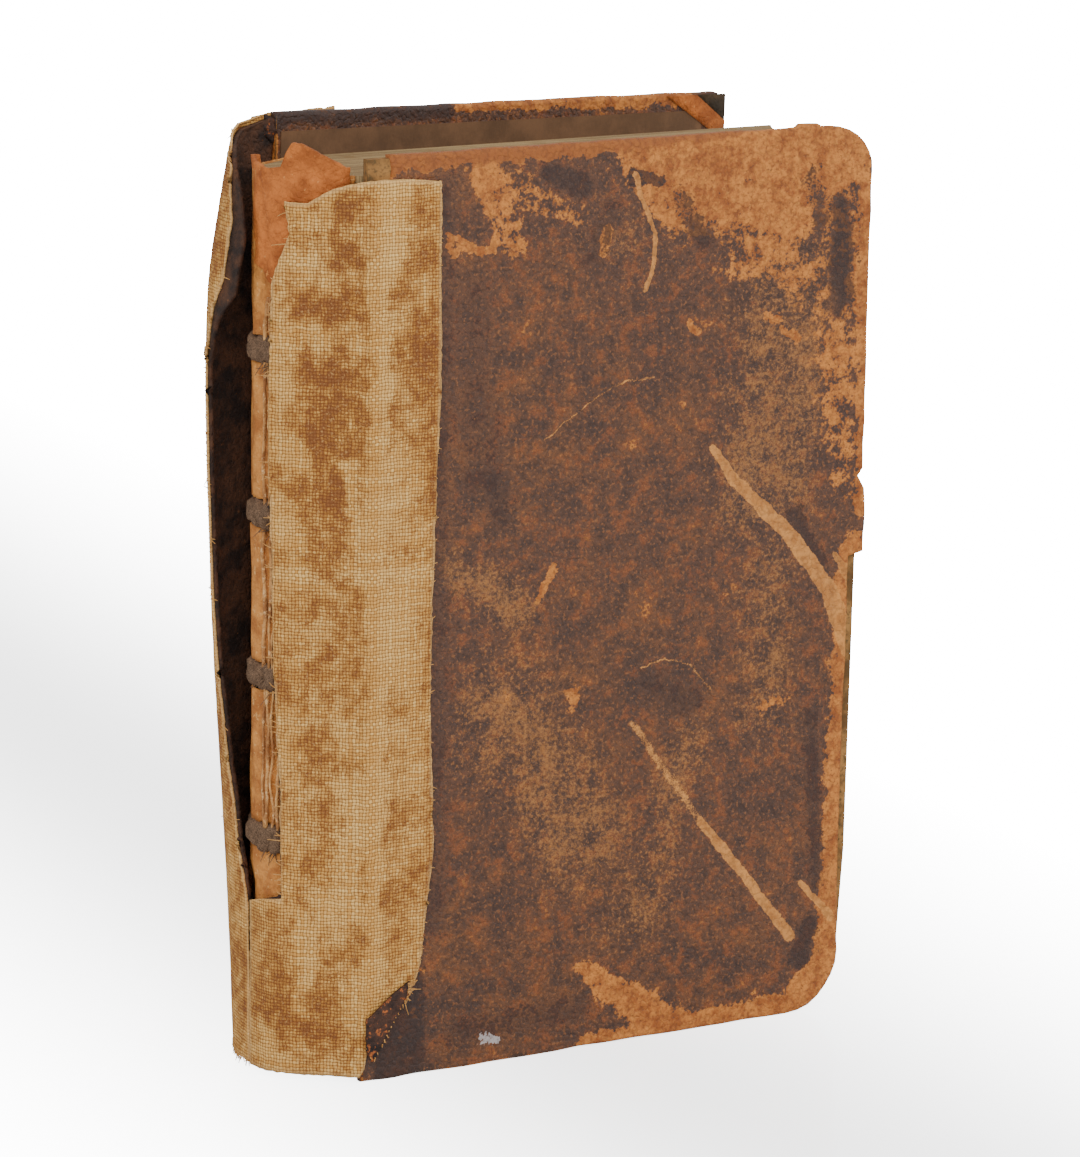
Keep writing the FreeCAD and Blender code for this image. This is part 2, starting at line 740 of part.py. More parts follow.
def write_parts():
    """Checks every object and every sub-part, then writes each sub-part to its own file."""
    DOC.recompute()
    failed = [item.Name for item in DOC.Objects if {"Invalid", "Error"} & set(item.State)]
    if failed:
        raise RuntimeError(f"failed objects: {failed}")
    for part in SUB_PARTS:
        if part.Shape.isNull() or not part.Shape.isValid():
            raise RuntimeError(f"{part.Label} has no valid shape")
    os.makedirs("parts", exist_ok=True)
    for part in SUB_PARTS:
        part.Shape.exportStep(f"parts/{part.Label}.step")
        box = part.Shape.BoundBox
        print(f"{part.Label}: {len(part.Shape.Solids)} solid(s), {part.Shape.Volume:.1f} mm3, "
              f"x {box.XMin:.1f} {box.XMax:.1f} y {box.YMin:.1f} {box.YMax:.1f} "
              f"z {box.ZMin:.1f} {box.ZMax:.1f}")


make_text_block()
for place in range(DIMENSIONS["cord_count"]):
    make_sewing_cord(place)
for place in range(DIMENSIONS["cord_count"] + 1):
    make_spine_lining(place)
make_head_leather()
make_spine_leather()
make_spine_cloth()
make_front_cover()
make_rear_cover()
write_parts()
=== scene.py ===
"""An old leather-bound book that stands on its tail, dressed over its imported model.

Lengths are in millimetres until a mesh is made, counted in the book's own frame: x from the front
joint towards the fore edge, y from the front cover's outer face towards the rear cover, z upwards.
"""

import logging
import math
import random
from bisect import bisect_right
from dataclasses import dataclass, field
from enum import Enum
from typing import Any, Callable, Sequence

import bmesh
import bpy
from mathutils import Matrix, Vector, geometry, noise


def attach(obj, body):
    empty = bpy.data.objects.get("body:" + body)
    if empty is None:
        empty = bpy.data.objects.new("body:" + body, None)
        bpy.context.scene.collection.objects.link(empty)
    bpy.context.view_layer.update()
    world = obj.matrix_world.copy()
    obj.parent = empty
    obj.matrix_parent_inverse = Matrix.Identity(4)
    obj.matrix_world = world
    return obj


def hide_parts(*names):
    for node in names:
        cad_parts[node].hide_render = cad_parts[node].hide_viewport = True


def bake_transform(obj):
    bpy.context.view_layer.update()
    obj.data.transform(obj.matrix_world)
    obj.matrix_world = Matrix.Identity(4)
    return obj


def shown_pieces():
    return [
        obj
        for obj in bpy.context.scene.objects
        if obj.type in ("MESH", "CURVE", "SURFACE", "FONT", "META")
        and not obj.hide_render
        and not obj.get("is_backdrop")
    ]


LOG = logging.getLogger("book")
MM = 0.001
VIVID = 1.28
PAGES, FRONT, REAR = "pages", "front_cover", "rear_cover"
ORIGIN = Vector((55.7, 1.5, 0.0))
Colour = tuple[float, float, float, float]
Table = Sequence[tuple[float, float]]


def tint(red: float, green: float, blue: float) -> Colour:
    """A display colour, from 0 to 255, as the linear one that a shader takes.

    Its colours are strengthened a little, because the view dulls them.
    """
    grey = 0.3 * red + 0.6 * green + 0.1 * blue
    red, green, blue = (max(2.0, min(255.0, grey + (level - grey) * VIVID)) for level in (red, green, blue))

    def linear(level: float) -> float:
        """One channel."""
        share = level / 255
        return share / 12.92 if share <= 0.04045 else ((share + 0.055) / 1.055) ** 2.4
    return linear(red), linear(green), linear(blue), 1.0


def between(table: Table, value: float) -> float:
    """Reads a table of pairs at a value, straight between its entries.

    Args:
        table: Pairs of a value and its reading, in rising order.
        value: Where to read it.

    Returns:
        The reading, held at the table's ends.
    """
    if value <= table[0][0]:
        return table[0][1]
    for (low, start), (high, end) in zip(table, table[1:]):
        if value <= high:
            return start + (end - start) * (value - low) / (high - low)
    return table[-1][1]


def eased(table: Table, value: float) -> float:
    """Reads a table of pairs at a value along a smooth line through its entries."""
    spots = [spot for spot, _ in table]
    index = max(0, min(len(table) - 2, bisect_right(spots, value) - 1))
    low, start = table[index]
    high, end = table[index + 1]
    before, after = table[max(0, index - 1)], table[min(len(table) - 1, index + 2)]
    rise_in = (end - before[1]) / (high - before[0])
    rise_out = (after[1] - start) / (after[0] - low)
    span = high - low
    share = max(0.0, min(1.0, (value - low) / span))
    square, cube = share * share, share ** 3
    return ((2 * cube - 3 * square + 1) * start + (cube - 2 * square + share) * rise_in * span
            + (3 * square - 2 * cube) * end + (cube - square) * rise_out * span)


def ragged(place: float, seed: float, size: float) -> float:
    """An uneven offset along a torn edge, up to about a size each way."""
    wave = noise.noise(Vector((place * 0.17, seed, 0.3))) + noise.noise(Vector((place * 0.9, seed, 7.1)))
    return size * wave


# Shaders.

class Graph:
    """Adds nodes to one tree by short calls. A value is a number, a tuple or another node's output."""

    def __init__(self, tree: bpy.types.NodeTree) -> None:
        self.tree = tree

    def feed(self, socket: bpy.types.NodeSocket, value: Any) -> None:
        """Links or sets one input."""
        if isinstance(value, bpy.types.NodeSocket):
            self.tree.links.new(value, socket)
        elif value is not None:
            socket.default_value = value

    def add(self, kind: str, inputs: dict[Any, Any] | None = None, **settings: Any) -> bpy.types.Node:
        """A new node.

        Args:
            kind: The node's type, without its ShaderNode prefix.
            inputs: Input names or numbers to values.
            settings: The node's own settings.

        Returns:
            The node.
        """
        node = self.tree.nodes.new(f"ShaderNode{kind}")
        for name, value in settings.items():
            setattr(node, name, value)
        for key, value in (inputs or {}).items():
            self.feed(node.inputs[key], value)
        return node

    def math(self, operation: str, *values: Any, clamp: bool = False) -> bpy.types.NodeSocket:
        """A sum or function of numbers."""
        node = self.add("Math", dict(enumerate(values)), operation=operation, use_clamp=clamp)
        return node.outputs[0]

    def vector(self, operation: str, *values: Any) -> bpy.types.NodeSocket:
        """A sum or function of vectors."""
        node = self.add("VectorMath", dict(enumerate(values)), operation=operation)
        plain = operation in {"DOT_PRODUCT", "DISTANCE", "LENGTH"}
        return node.outputs["Value" if plain else "Vector"]

    def scaled(self, value: Any, size: Any) -> bpy.types.NodeSocket:
        """A vector times a number, or times another vector."""
        if isinstance(size, tuple):
            return self.vector("MULTIPLY", value, size)
        node = self.add("VectorMath", {0: value, "Scale": size}, operation="SCALE")
        return node.outputs["Vector"]

    def mix(self, share: Any, first: Any, second: Any, how: str = "MIX") -> bpy.types.NodeSocket:
        """A mix of two colours."""
        return self.add("Mix", {0: share, 6: first, 7: second}, data_type="RGBA", blend_type=how).outputs[2]

    def step(self, value: Any, low: Any, high: Any, start: float = 0, end: float = 1
             ) -> bpy.types.NodeSocket:
        """A number that eases from one level to another as a value passes two limits."""
        return self.add("MapRange", {0: value, 1: low, 2: high, 3: start, 4: end},
                        interpolation_type="SMOOTHSTEP").outputs[0]

    def cloud(self, place: Any, scale: Any, detail: float = 4, roughness: float = 0.55,
              distortion: float = 0) -> bpy.types.NodeSocket:
        """Soft noise from 0 to 1."""
        return self.add("TexNoise", {"Vector": place, "Scale": scale, "Detail": detail,
                                     "Roughness": roughness, "Distortion": distortion}).outputs[0]

    def effect(self, group: bpy.types.NodeTree, inputs: dict[str, Any]) -> bpy.types.Node:
        """A shared effect, placed with its own values."""
        return self.add("Group", inputs, node_tree=group) if False else self.placed(group, inputs)

    def placed(self, group: bpy.types.NodeTree, inputs: dict[str, Any]) -> bpy.types.Node:
        """A group node of an effect."""
        node = self.tree.nodes.new("ShaderNodeGroup")
        node.node_tree = group
        for name, value in inputs.items():
            self.feed(node.inputs[name], value)
        return node


class Socket(Enum):
    """The kinds of value that an effect takes or gives."""

    NUMBER = "NodeSocketFloat"
    VECTOR = "NodeSocketVector"


@dataclass
class Effect:
    """A shader node group that several finishes share, built when it is first asked for."""

    name: str
    inputs: dict[str, Socket]
    outputs: dict[str, Socket]
    work: Callable[[Graph, Any], dict[str, Any]]
    made: bpy.types.NodeTree | None = None

    def group(self) -> bpy.types.NodeTree:
        """The node group."""
        if self.made is None:
            tree = bpy.data.node_groups.new(self.name, "ShaderNodeTree")
            for name, kind in self.inputs.items():
                tree.interface.new_socket(name, in_out="INPUT", socket_type=kind.value)
            for name, kind in self.outputs.items():
                tree.interface.new_socket(name, in_out="OUTPUT", socket_type=kind.value)
            source = tree.nodes.new("NodeGroupInput")
            target = tree.nodes.new("NodeGroupOutput")
            graph = Graph(tree)
            for name, value in self.work(graph, source.outputs).items():
                graph.feed(target.inputs[name], value)
            self.made = tree
        return self.made


def stroke_nodes(graph: Graph, given: Any) -> dict[str, Any]:
    """A mark along a straight line, which may widen and fades over its softness."""
    along = graph.vector("SUBTRACT", given["End"], given["Start"])
    reach = graph.vector("SUBTRACT", given["Vector"], given["Start"])
    share = graph.math("DIVIDE", graph.vector("DOT_PRODUCT", reach, along),
                       graph.vector("DOT_PRODUCT", along, along), clamp=True)
    nearest = graph.vector("ADD", given["Start"], graph.scaled(along, share))
    distance = graph.vector("DISTANCE", given["Vector"], nearest)
    spread = graph.math("SUBTRACT", given["End Width"], given["Start Width"])
    width = graph.math("MULTIPLY_ADD", spread, share, given["Start Width"])
    inner = graph.math("MULTIPLY", width, graph.math("SUBTRACT", 1.0, given["Softness"]))
    return {"Mask": graph.step(distance, width, inner, 0, given["Strength"])}


def mottle_nodes(graph: Graph, given: Any) -> dict[str, Any]:
    """Clouds at four sizes, for stains, wear and specks."""
    place, scale = given["Vector"], given["Scale"]
    sizes = {"Broad": (1.0, 2, 0.5), "Middle": (4.5, 4, 0.6), "Fine": (17.0, 4, 0.65), "Specks": (60.0, 1, 0.6)}
    return {name: graph.cloud(place, graph.math("MULTIPLY", scale, times), detail, roughness)
            for name, (times, detail, roughness) in sizes.items()}


def grain_nodes(graph: Graph, given: Any) -> dict[str, Any]:
    """The pebbled grain of leather, with creases between its cells."""
    place, scale = given["Vector"], given["Scale"]
    bent = graph.vector("ADD", place, graph.scaled(
        graph.add("TexNoise", {"Vector": place, "Scale": graph.math("MULTIPLY", scale, 0.6),
                               "Detail": 0.0}).outputs[1], 0.9))
    cells = graph.add("TexVoronoi", {"Vector": bent, "Scale": scale}).outputs["Distance"]
    crease = graph.step(cells, 0.78, 0.4)
    rough = graph.cloud(place, graph.math("MULTIPLY", scale, 2.5), 1, 0.7)
    return {"Height": graph.math("MULTIPLY_ADD", rough, 0.45, crease)}


def weave_nodes(graph: Graph, given: Any) -> dict[str, Any]:
    """A plain weave of uneven threads, from flat cloth coordinates."""
    wander = graph.add("TexNoise", {"Vector": given["Vector"], "Scale": 0.45, "Detail": 1}).outputs[1]
    uneven = graph.vector("ADD", given["Vector"], graph.scaled(
        graph.vector("SUBTRACT", wander, (0.5, 0.5, 0.5)), 0.7))
    turns = graph.add("SeparateXYZ", {0: graph.scaled(uneven, graph.math("DIVIDE", math.pi, given["Pitch"]))})
    warp, weft = (graph.math("SINE", turns.outputs[axis]) for axis in (0, 1))
    over = graph.step(graph.math("MULTIPLY", warp, weft), -0.12, 0.12)
    warp_round, weft_round = (graph.math("ABSOLUTE", wave) for wave in (warp, weft))
    warp_high = graph.math("MULTIPLY", graph.math("POWER", warp_round, 0.6),
                           graph.math("MULTIPLY_ADD", weft_round, 0.55, 0.45))
    weft_high = graph.math("MULTIPLY", graph.math("POWER", weft_round, 0.6),
                           graph.math("MULTIPLY_ADD", warp_round, 0.55, 0.45))
    height = graph.add("Mix", {0: over, 2: weft_high, 3: warp_high}, data_type="FLOAT").outputs[0]
    number = graph.vector("FLOOR", graph.scaled(uneven, graph.math("DIVIDE", 1.0, given["Pitch"])))
    split = graph.add("SeparateXYZ", {0: number})
    tones = [graph.add("TexWhiteNoise", {"W": split.outputs[axis]}, noise_dimensions="1D").outputs[0]
             for axis in (0, 1)]
    tone = graph.add("Mix", {0: over, 2: tones[1], 3: tones[0]}, data_type="FLOAT").outputs[0]
    return {"Height": height, "Tone": tone}


STROKE = Effect("stroke", {"Vector": Socket.VECTOR, "Start": Socket.VECTOR, "End": Socket.VECTOR,
                           "Start Width": Socket.NUMBER, "End Width": Socket.NUMBER,
                           "Softness": Socket.NUMBER, "Strength": Socket.NUMBER},
                {"Mask": Socket.NUMBER}, stroke_nodes)
MOTTLE = Effect("mottle", {"Vector": Socket.VECTOR, "Scale": Socket.NUMBER},
                dict.fromkeys(("Broad", "Middle", "Fine", "Specks"), Socket.NUMBER), mottle_nodes)
GRAIN = Effect("grain", {"Vector": Socket.VECTOR, "Scale": Socket.NUMBER},
               {"Height": Socket.NUMBER}, grain_nodes)
WEAVE = Effect("weave", {"Vector": Socket.VECTOR, "Pitch": Socket.NUMBER},
               {"Height": Socket.NUMBER, "Tone": Socket.NUMBER}, weave_nodes)


class Sort(Enum):
    """What a mark on a cover or cloth does to it."""

    WORN = "worn"
    PALE = "pale"
    DARK = "dark"
    SCRATCH = "scratch"
    # Clean marks lighten; on the cloth one of them is a painted highlight along the bend at the front joint.
    CLEAN = "clean"
    BURNISHED = "burnished"


@dataclass(frozen=True)
class Mark:
    """A stretch of wear or stain on a flat piece: where it runs, how wide it is and how it fades."""

    sort: Sort
    start: tuple[float, float]
    end: tuple[float, float]
    widths: tuple[float, float]
    softness: float = 0.8
    strength: float = 1.0


@dataclass(frozen=True)
class Line:
    """A mark along several points, whose width grows evenly from one end to the other."""

    sort: Sort
    points: tuple[tuple[float, float], ...]
    widths: tuple[float, float]
    softness: float = 0.3
    strength: float = 1.0

    def marks(self) -> list[Mark]:
        """The straight marks that make it."""
        spans = len(self.points) - 1
        wide = [self.widths[0] + (self.widths[1] - self.widths[0]) * i / spans for i in range(spans + 1)]
        return [Mark(self.sort, *self.points[i:i + 2], (wide[i], wide[i + 1]), self.softness, self.strength)
                for i in range(spans)]


class Paint:
    """A material under construction: its graph, its shader, and the places that its patterns read."""

    def __init__(self, name: str, roughness: float, **sockets: float) -> None:
        self.material = bpy.data.materials.new(name)
        self.material.use_nodes = True
        self.graph = Graph(self.material.node_tree)
        self.shader = self.material.node_tree.nodes["Principled BSDF"]
        self.shader.inputs["Roughness"].default_value = roughness
        for socket, value in sockets.items():
            self.shader.inputs[socket.replace("_", " ")].default_value = value
        coordinates = self.graph.add("TexCoord")
        self.place = self.graph.scaled(coordinates.outputs["Object"], 1000.0)
        self.flat = self.graph.scaled(coordinates.outputs["UV"], 1000.0)
        self.facing = coordinates.outputs["Normal"]

    def mottle(self, scale: float) -> dict[str, bpy.types.NodeSocket]:
        """The clouds of the mottling effect at a scale in cycles a millimetre."""
        node = self.graph.placed(MOTTLE.group(), {"Vector": self.place, "Scale": scale})
        return {name: node.outputs[name] for name in ("Broad", "Middle", "Fine", "Specks")}

    def marks(self, sort: Sort, marks: Sequence[Mark], place: bpy.types.NodeSocket) -> Any:
        """The strongest of a sort of marks at each point."""
        total: Any = 0.0
        for mark in marks:
            if mark.sort is not sort:
                continue
            node = self.graph.placed(STROKE.group(), {
                "Vector": place, "Start": (*mark.start, 0.0), "End": (*mark.end, 0.01),
                "Start Width": mark.widths[0], "End Width": mark.widths[1],
                "Softness": mark.softness, "Strength": mark.strength})
            total = self.graph.math("MAXIMUM", total, node.outputs[0])
        return total

    def finish(self, colour: Any, height: Any = None, depth: float = 0.1, roughness: Any = None
               ) -> bpy.types.Material:
        """Feeds the shader and returns the material.

        Args:
            colour: The base colour.
            height: The relief, from 0 to about 1.
            depth: The relief's depth in millimetres.
            roughness: The roughness, where it varies.

        Returns:
            The material.
        """
        self.graph.feed(self.shader.inputs["Base Color"], colour)
        if height is not None:
            bump = self.graph.add("Bump", {"Strength": 1.0, "Distance": depth * MM, "Height": height})
            self.graph.feed(self.shader.inputs["Normal"], bump.outputs[0])
        if roughness is not None:
            self.graph.feed(self.shader.inputs["Roughness"], roughness)
        return self.material


def spelled_out(marks: Sequence[Mark | Line]) -> list[Mark]:
    """Marks and lines of marks as plain marks."""
    plain: list[Mark] = []
    for item in marks:
        plain.extend(item.marks() if isinstance(item, Line) else [item])
    return plain


@dataclass(frozen=True)
class CoverLeather:
    """Mottled calf, rubbed to tan at its edges, with scratches and stains, and painted shade in its grain's creases.
    """

    name: str
    marks: tuple[Mark | Line, ...]

    def material(self) -> bpy.types.Material:
        """Builds the material."""
        paint = Paint(self.name, 0.55, Specular_IOR_Level=0.35)
        graph, tones = paint.graph, paint.mottle(0.022)
        hairs = paint.mottle(0.07)
        marks = spelled_out(self.marks)
        stir = graph.add("TexNoise", {"Vector": paint.place, "Scale": 0.35, "Detail": 3, "Roughness": 0.65})
        shift = graph.vector("SUBTRACT", stir.outputs[1], (0.5, 0.5, 0.5))
        near = graph.vector("ADD", paint.flat, graph.scaled(shift, (4.4, 4.4, 0.0)))
        crisp = graph.vector("ADD", paint.flat, graph.scaled(shift, (1.6, 1.6, 0.0)))
        rim = graph.add("Attribute", attribute_name="rim").outputs["Fac"]

        def off(value: Any, size: float, start: Any) -> Any:
            """A start value moved by how far a cloud is from its middle."""
            return graph.math("MULTIPLY_ADD", graph.math("SUBTRACT", value, 0.5), size, start)
        base = graph.mix(graph.step(tones["Middle"], 0.34, 0.66), tint(80, 60, 50), tint(110, 77, 54))
        base = graph.mix(graph.step(tones["Broad"], 0.4, 0.66), base, tint(90, 66, 53))
        base = graph.mix(graph.math("MULTIPLY", graph.step(tones["Fine"], 0.52, 0.34), 0.65), base,
                         tint(56, 44, 40))
        base = graph.mix(graph.math("MULTIPLY", graph.step(tones["Fine"], 0.5, 0.66), 0.5), base,
                         tint(146, 90, 54))
        base = graph.mix(graph.math("MULTIPLY", graph.step(tones["Specks"], 0.53, 0.7), 0.55), base,
                         tint(150, 104, 68))
        base = graph.mix(graph.math("MULTIPLY", graph.step(hairs["Specks"], 0.5, 0.34), 0.35), base,
                         tint(58, 43, 38))
        pale = paint.marks(Sort.PALE, marks, near)
        rubbed = off(tones["Middle"], 0.9, off(tones["Fine"], 0.9, off(tones["Specks"], 1.0, off(
            hairs["Specks"], 0.7, graph.math("MULTIPLY", pale, 0.5)))))
        base = graph.mix(graph.math("MULTIPLY", graph.step(rubbed, 0.28, 0.8), 0.72), base,
                         tint(160, 117, 76))
        worn = graph.math("MAXIMUM", paint.marks(Sort.WORN, marks, near), graph.math("MULTIPLY", rim, 0.85))
        dark = paint.marks(Sort.DARK, marks, near)
        level = off(tones["Middle"], 1.4, off(tones["Fine"], 1.9, off(tones["Specks"], 1.0, worn)))
        level = graph.math("MULTIPLY_ADD", dark, -0.55, level)
        bare = graph.step(level, 0.42, 0.66)
        tan = graph.mix(graph.step(tones["Fine"], 0.34, 0.66), tint(142, 88, 48), tint(196, 136, 80))
        tan = graph.mix(graph.math("MULTIPLY", graph.step(tones["Specks"], 0.52, 0.7), 0.5), tan,
                        tint(116, 72, 44))
        tan = graph.mix(graph.math("MULTIPLY", graph.step(hairs["Fine"], 0.55, 0.75), 0.5), tan,
                        tint(208, 152, 94))
        tan = graph.mix(graph.math("MULTIPLY", paint.marks(Sort.BURNISHED, marks, near), 0.8), tan,
                        tint(138, 88, 54))
        colour = graph.mix(bare, base, tan)
        stain = off(tones["Fine"], 2.0, off(tones["Specks"], 0.9, dark))
        stain = graph.math("MULTIPLY", graph.step(stain, 0.36, 0.7), 0.8)
        colour = graph.mix(stain, colour, tint(50, 40, 38))
        scratch = paint.marks(Sort.SCRATCH, marks, crisp)
        torn = graph.step(off(hairs["Specks"], 0.9, off(tones["Fine"], 1.3, scratch)), 0.3, 0.72)
        colour = graph.mix(graph.math("MULTIPLY", torn, 0.92), colour, graph.mix(
            graph.step(tones["Fine"], 0.34, 0.66), tint(172, 120, 70), tint(206, 152, 96)))
        clean = off(tones["Specks"], 2.0, paint.marks(Sort.CLEAN, marks, crisp))
        colour = graph.mix(graph.step(clean, 0.6, 0.85), colour, tint(178, 170, 168))
        grain = graph.placed(GRAIN.group(), {"Vector": paint.place, "Scale": 1.15}).outputs[0]
        # Painted shade: the grain's creases, low between its pebbles, are darkened in colour.
        crease_shade = graph.math("MULTIPLY", graph.step(grain, 0.75, 0.1), 0.4)
        colour = graph.mix(crease_shade, colour, graph.mix(0.62, colour, tint(40, 28, 22)))
        height = graph.math("MULTIPLY_ADD", tones["Fine"], 0.9, grain)
        rough = graph.step(tones["Fine"], 0.3, 0.7, 0.44, 0.62)
        rough = graph.math("MULTIPLY_ADD", bare, 0.14, rough)
        return paint.finish(colour, height, 0.13, rough)


@dataclass(frozen=True)
class Canvas:
    """Coarse plain-woven cloth, stained brown and rubbed, with painted shade in the hollows of its weave."""

    name: str
    marks: tuple[Mark | Line, ...]
    pitch: float = 0.66

    def material(self) -> bpy.types.Material:
        """Builds the material."""
        paint = Paint(self.name, 0.9, Specular_IOR_Level=0.15)
        graph, tones = paint.graph, paint.mottle(0.03)
        marks = spelled_out(self.marks)
        cloth = graph.placed(WEAVE.group(), {"Vector": paint.flat, "Pitch": self.pitch})
        height, tone = cloth.outputs["Height"], cloth.outputs["Tone"]
        shift = graph.vector("SUBTRACT", graph.add("TexNoise", {
            "Vector": paint.place, "Scale": 0.25, "Detail": 4}).outputs[1], (0.5, 0.5, 0.5))
        near = graph.vector("ADD", paint.flat, graph.scaled(shift, (5.0, 5.0, 0.0)))
        edge = graph.add("Attribute", attribute_name="edge").outputs["Fac"]
        thread = graph.mix(tone, tint(204, 158, 98), tint(240, 204, 142))
        # This value gathers stains and dirt, and also painted shade in the weave's hollows and a painted highlight at
        # the front joint.
        dirt_and_painted_light = graph.math("MULTIPLY_ADD", graph.math("SUBTRACT", tones["Middle"], 0.5), 2.1,
                          graph.math("MULTIPLY", tones["Broad"], 0.95))
        dirt_and_painted_light = graph.math("ADD", dirt_and_painted_light, graph.math("MULTIPLY", paint.marks(Sort.DARK, marks, near), 0.45))
        # Clean marks lessen the dirt: clean spots, and one painted highlight along the bend at the front joint.
        dirt_and_painted_light = graph.math("MULTIPLY_ADD", paint.marks(Sort.CLEAN, marks, near), -0.55, dirt_and_painted_light)
        dirt_and_painted_light = graph.math("MULTIPLY_ADD", graph.math("SUBTRACT", tones["Fine"], 0.5), 1.7, dirt_and_painted_light)
        dirt_and_painted_light = graph.math("MULTIPLY_ADD", graph.math("SUBTRACT", tones["Specks"], 0.5), 1.0, dirt_and_painted_light)
        dirt_and_painted_light = graph.math("MULTIPLY_ADD", graph.math("SUBTRACT", tone, 0.5), 0.22, dirt_and_painted_light)
        # Painted shade: low places of the weave, between threads, count as dirtier and so come out darker.
        dirt_and_painted_light = graph.math("MULTIPLY_ADD", height, -0.25, dirt_and_painted_light)
        thread = graph.mix(graph.step(dirt_and_painted_light, -0.05, 0.72), thread, tint(158, 114, 68))
        thread = graph.mix(graph.math("MULTIPLY", graph.step(dirt_and_painted_light, 0.5, 1.0), 0.7), thread,
                           tint(114, 78, 60))
        # Painted shade: the hollows between threads are darkened in colour.
        hollow_shade = graph.step(height, 0.16, 0.72, 1.0, 0.0)
        colour = graph.mix(graph.math("MULTIPLY", hollow_shade, 0.8), thread, tint(112, 70, 42))
        fuzz = graph.math("MULTIPLY", graph.step(tones["Specks"], 0.56, 0.76), 0.4)
        colour = graph.mix(fuzz, colour, tint(226, 186, 132))
        colour = graph.mix(graph.math("MULTIPLY", edge, 0.65), colour, tint(228, 192, 142))
        relief = graph.math("MULTIPLY_ADD", tones["Specks"], 0.35, height)
        return paint.finish(colour, relief, 0.16)


@dataclass(frozen=True)
class RawLeather:
    """Leather with no polish left: a colour range, creases and scuffs."""

    name: str
    dark: Colour
    light: Colour
    scuff: Colour
    scuffed: float = 0.66
    wrinkle: float = 0.4
    rough: float = 0.72

    def material(self) -> bpy.types.Material:
        """Builds the material."""
        paint = Paint(self.name, self.rough, Specular_IOR_Level=0.25)
        graph, tones = paint.graph, paint.mottle(0.05)
        colour = graph.mix(graph.step(tones["Middle"], 0.34, 0.66), self.dark, self.light)
        colour = graph.mix(graph.math("MULTIPLY", graph.step(tones["Fine"], 0.5, 0.28), 0.5), colour, self.dark)
        colour = graph.mix(graph.math("MULTIPLY", graph.step(tones["Fine"], self.scuffed - 0.06,
                                                             self.scuffed + 0.06), 0.85), colour, self.scuff)
        grain = graph.placed(GRAIN.group(), {"Vector": paint.place, "Scale": 1.3}).outputs[0]
        folds = graph.cloud(graph.scaled(paint.place, (1.0, 1.0, self.wrinkle)), 0.5, 4, 0.6, 0.6)
        height = graph.math("MULTIPLY_ADD", folds, 3.0, grain)
        return paint.finish(colour, height, 0.12)


@dataclass(frozen=True)
class PageEdges:
    """Cut leaves seen edge on, and the browned face of the outer leaf."""

    name: str

    def material(self) -> bpy.types.Material:
        """Builds the material."""
        paint = Paint(self.name, 0.85, Specular_IOR_Level=0.15)
        graph, tones = paint.graph, paint.mottle(0.04)
        leaves = graph.cloud(graph.scaled(paint.place, (0.02, 5.5, 0.02)), 1.0, 3, 0.75)
        groups = graph.cloud(graph.scaled(paint.place, (0.03, 0.55, 0.03)), 1.0, 2, 0.5)
        colour = graph.mix(graph.step(leaves, 0.3, 0.66), tint(92, 74, 54), tint(182, 158, 122))
        colour = graph.mix(graph.step(groups, 0.35, 0.62), graph.mix(0.4, colour, tint(112, 92, 68)), colour)
        colour = graph.mix(graph.math("MULTIPLY", graph.step(tones["Middle"], 0.5, 0.7), 0.4), colour,
                           tint(118, 92, 62))
        flat = graph.mix(graph.step(tones["Middle"], 0.35, 0.7), tint(196, 176, 138), tint(168, 142, 104))
        flat = graph.mix(graph.step(tones["Fine"], 0.66, 0.76), flat, tint(140, 106, 70))
        side = graph.math("ABSOLUTE", graph.add("SeparateXYZ", {0: paint.facing}).outputs[1])
        face = graph.step(side, 0.8, 0.95)
        height = graph.math("MULTIPLY", graph.math("ADD", leaves, groups),
                            graph.step(side, 0.95, 0.8))
        return paint.finish(graph.mix(face, colour, flat), height, 0.18)


@dataclass(frozen=True)
class PulpBoard:
    """Layered old board, bared and dirty."""

    name: str

    def material(self) -> bpy.types.Material:
        """Builds the material."""
        paint = Paint(self.name, 0.9, Specular_IOR_Level=0.1)
        graph, tones = paint.graph, paint.mottle(0.06)
        layers = graph.cloud(graph.scaled(paint.place, (0.15, 3.0, 0.15)), 1.0, 3, 0.6)
        colour = graph.mix(graph.step(layers, 0.35, 0.65), tint(98, 76, 54), tint(164, 128, 88))
        colour = graph.mix(graph.step(tones["Fine"], 0.45, 0.7), colour, tint(92, 78, 58))
        height = graph.math("ADD", tones["Fine"], layers)
        return paint.finish(colour, height, 0.22)


@dataclass(frozen=True)
class Paper:
    """A browned endpaper with stains."""

    name: str
    light: Colour
    dark: Colour

    def material(self) -> bpy.types.Material:
        """Builds the material."""
        paint = Paint(self.name, 0.8, Specular_IOR_Level=0.2)
        graph, tones = paint.graph, paint.mottle(0.03)
        fibres = graph.cloud(graph.scaled(paint.place, (1.0, 1.0, 0.3)), 2.5, 4, 0.7)
        colour = graph.mix(graph.step(tones["Middle"], 0.3, 0.7), self.dark, self.light)
        colour = graph.mix(graph.math("MULTIPLY", graph.step(tones["Fine"], 0.62, 0.78), 0.5), colour,
                           tint(70, 50, 38))
        colour = graph.mix(graph.math("MULTIPLY", fibres, 0.25), colour, tint(140, 112, 86))
        return paint.finish(colour, graph.math("ADD", fibres, tones["Fine"]), 0.06)


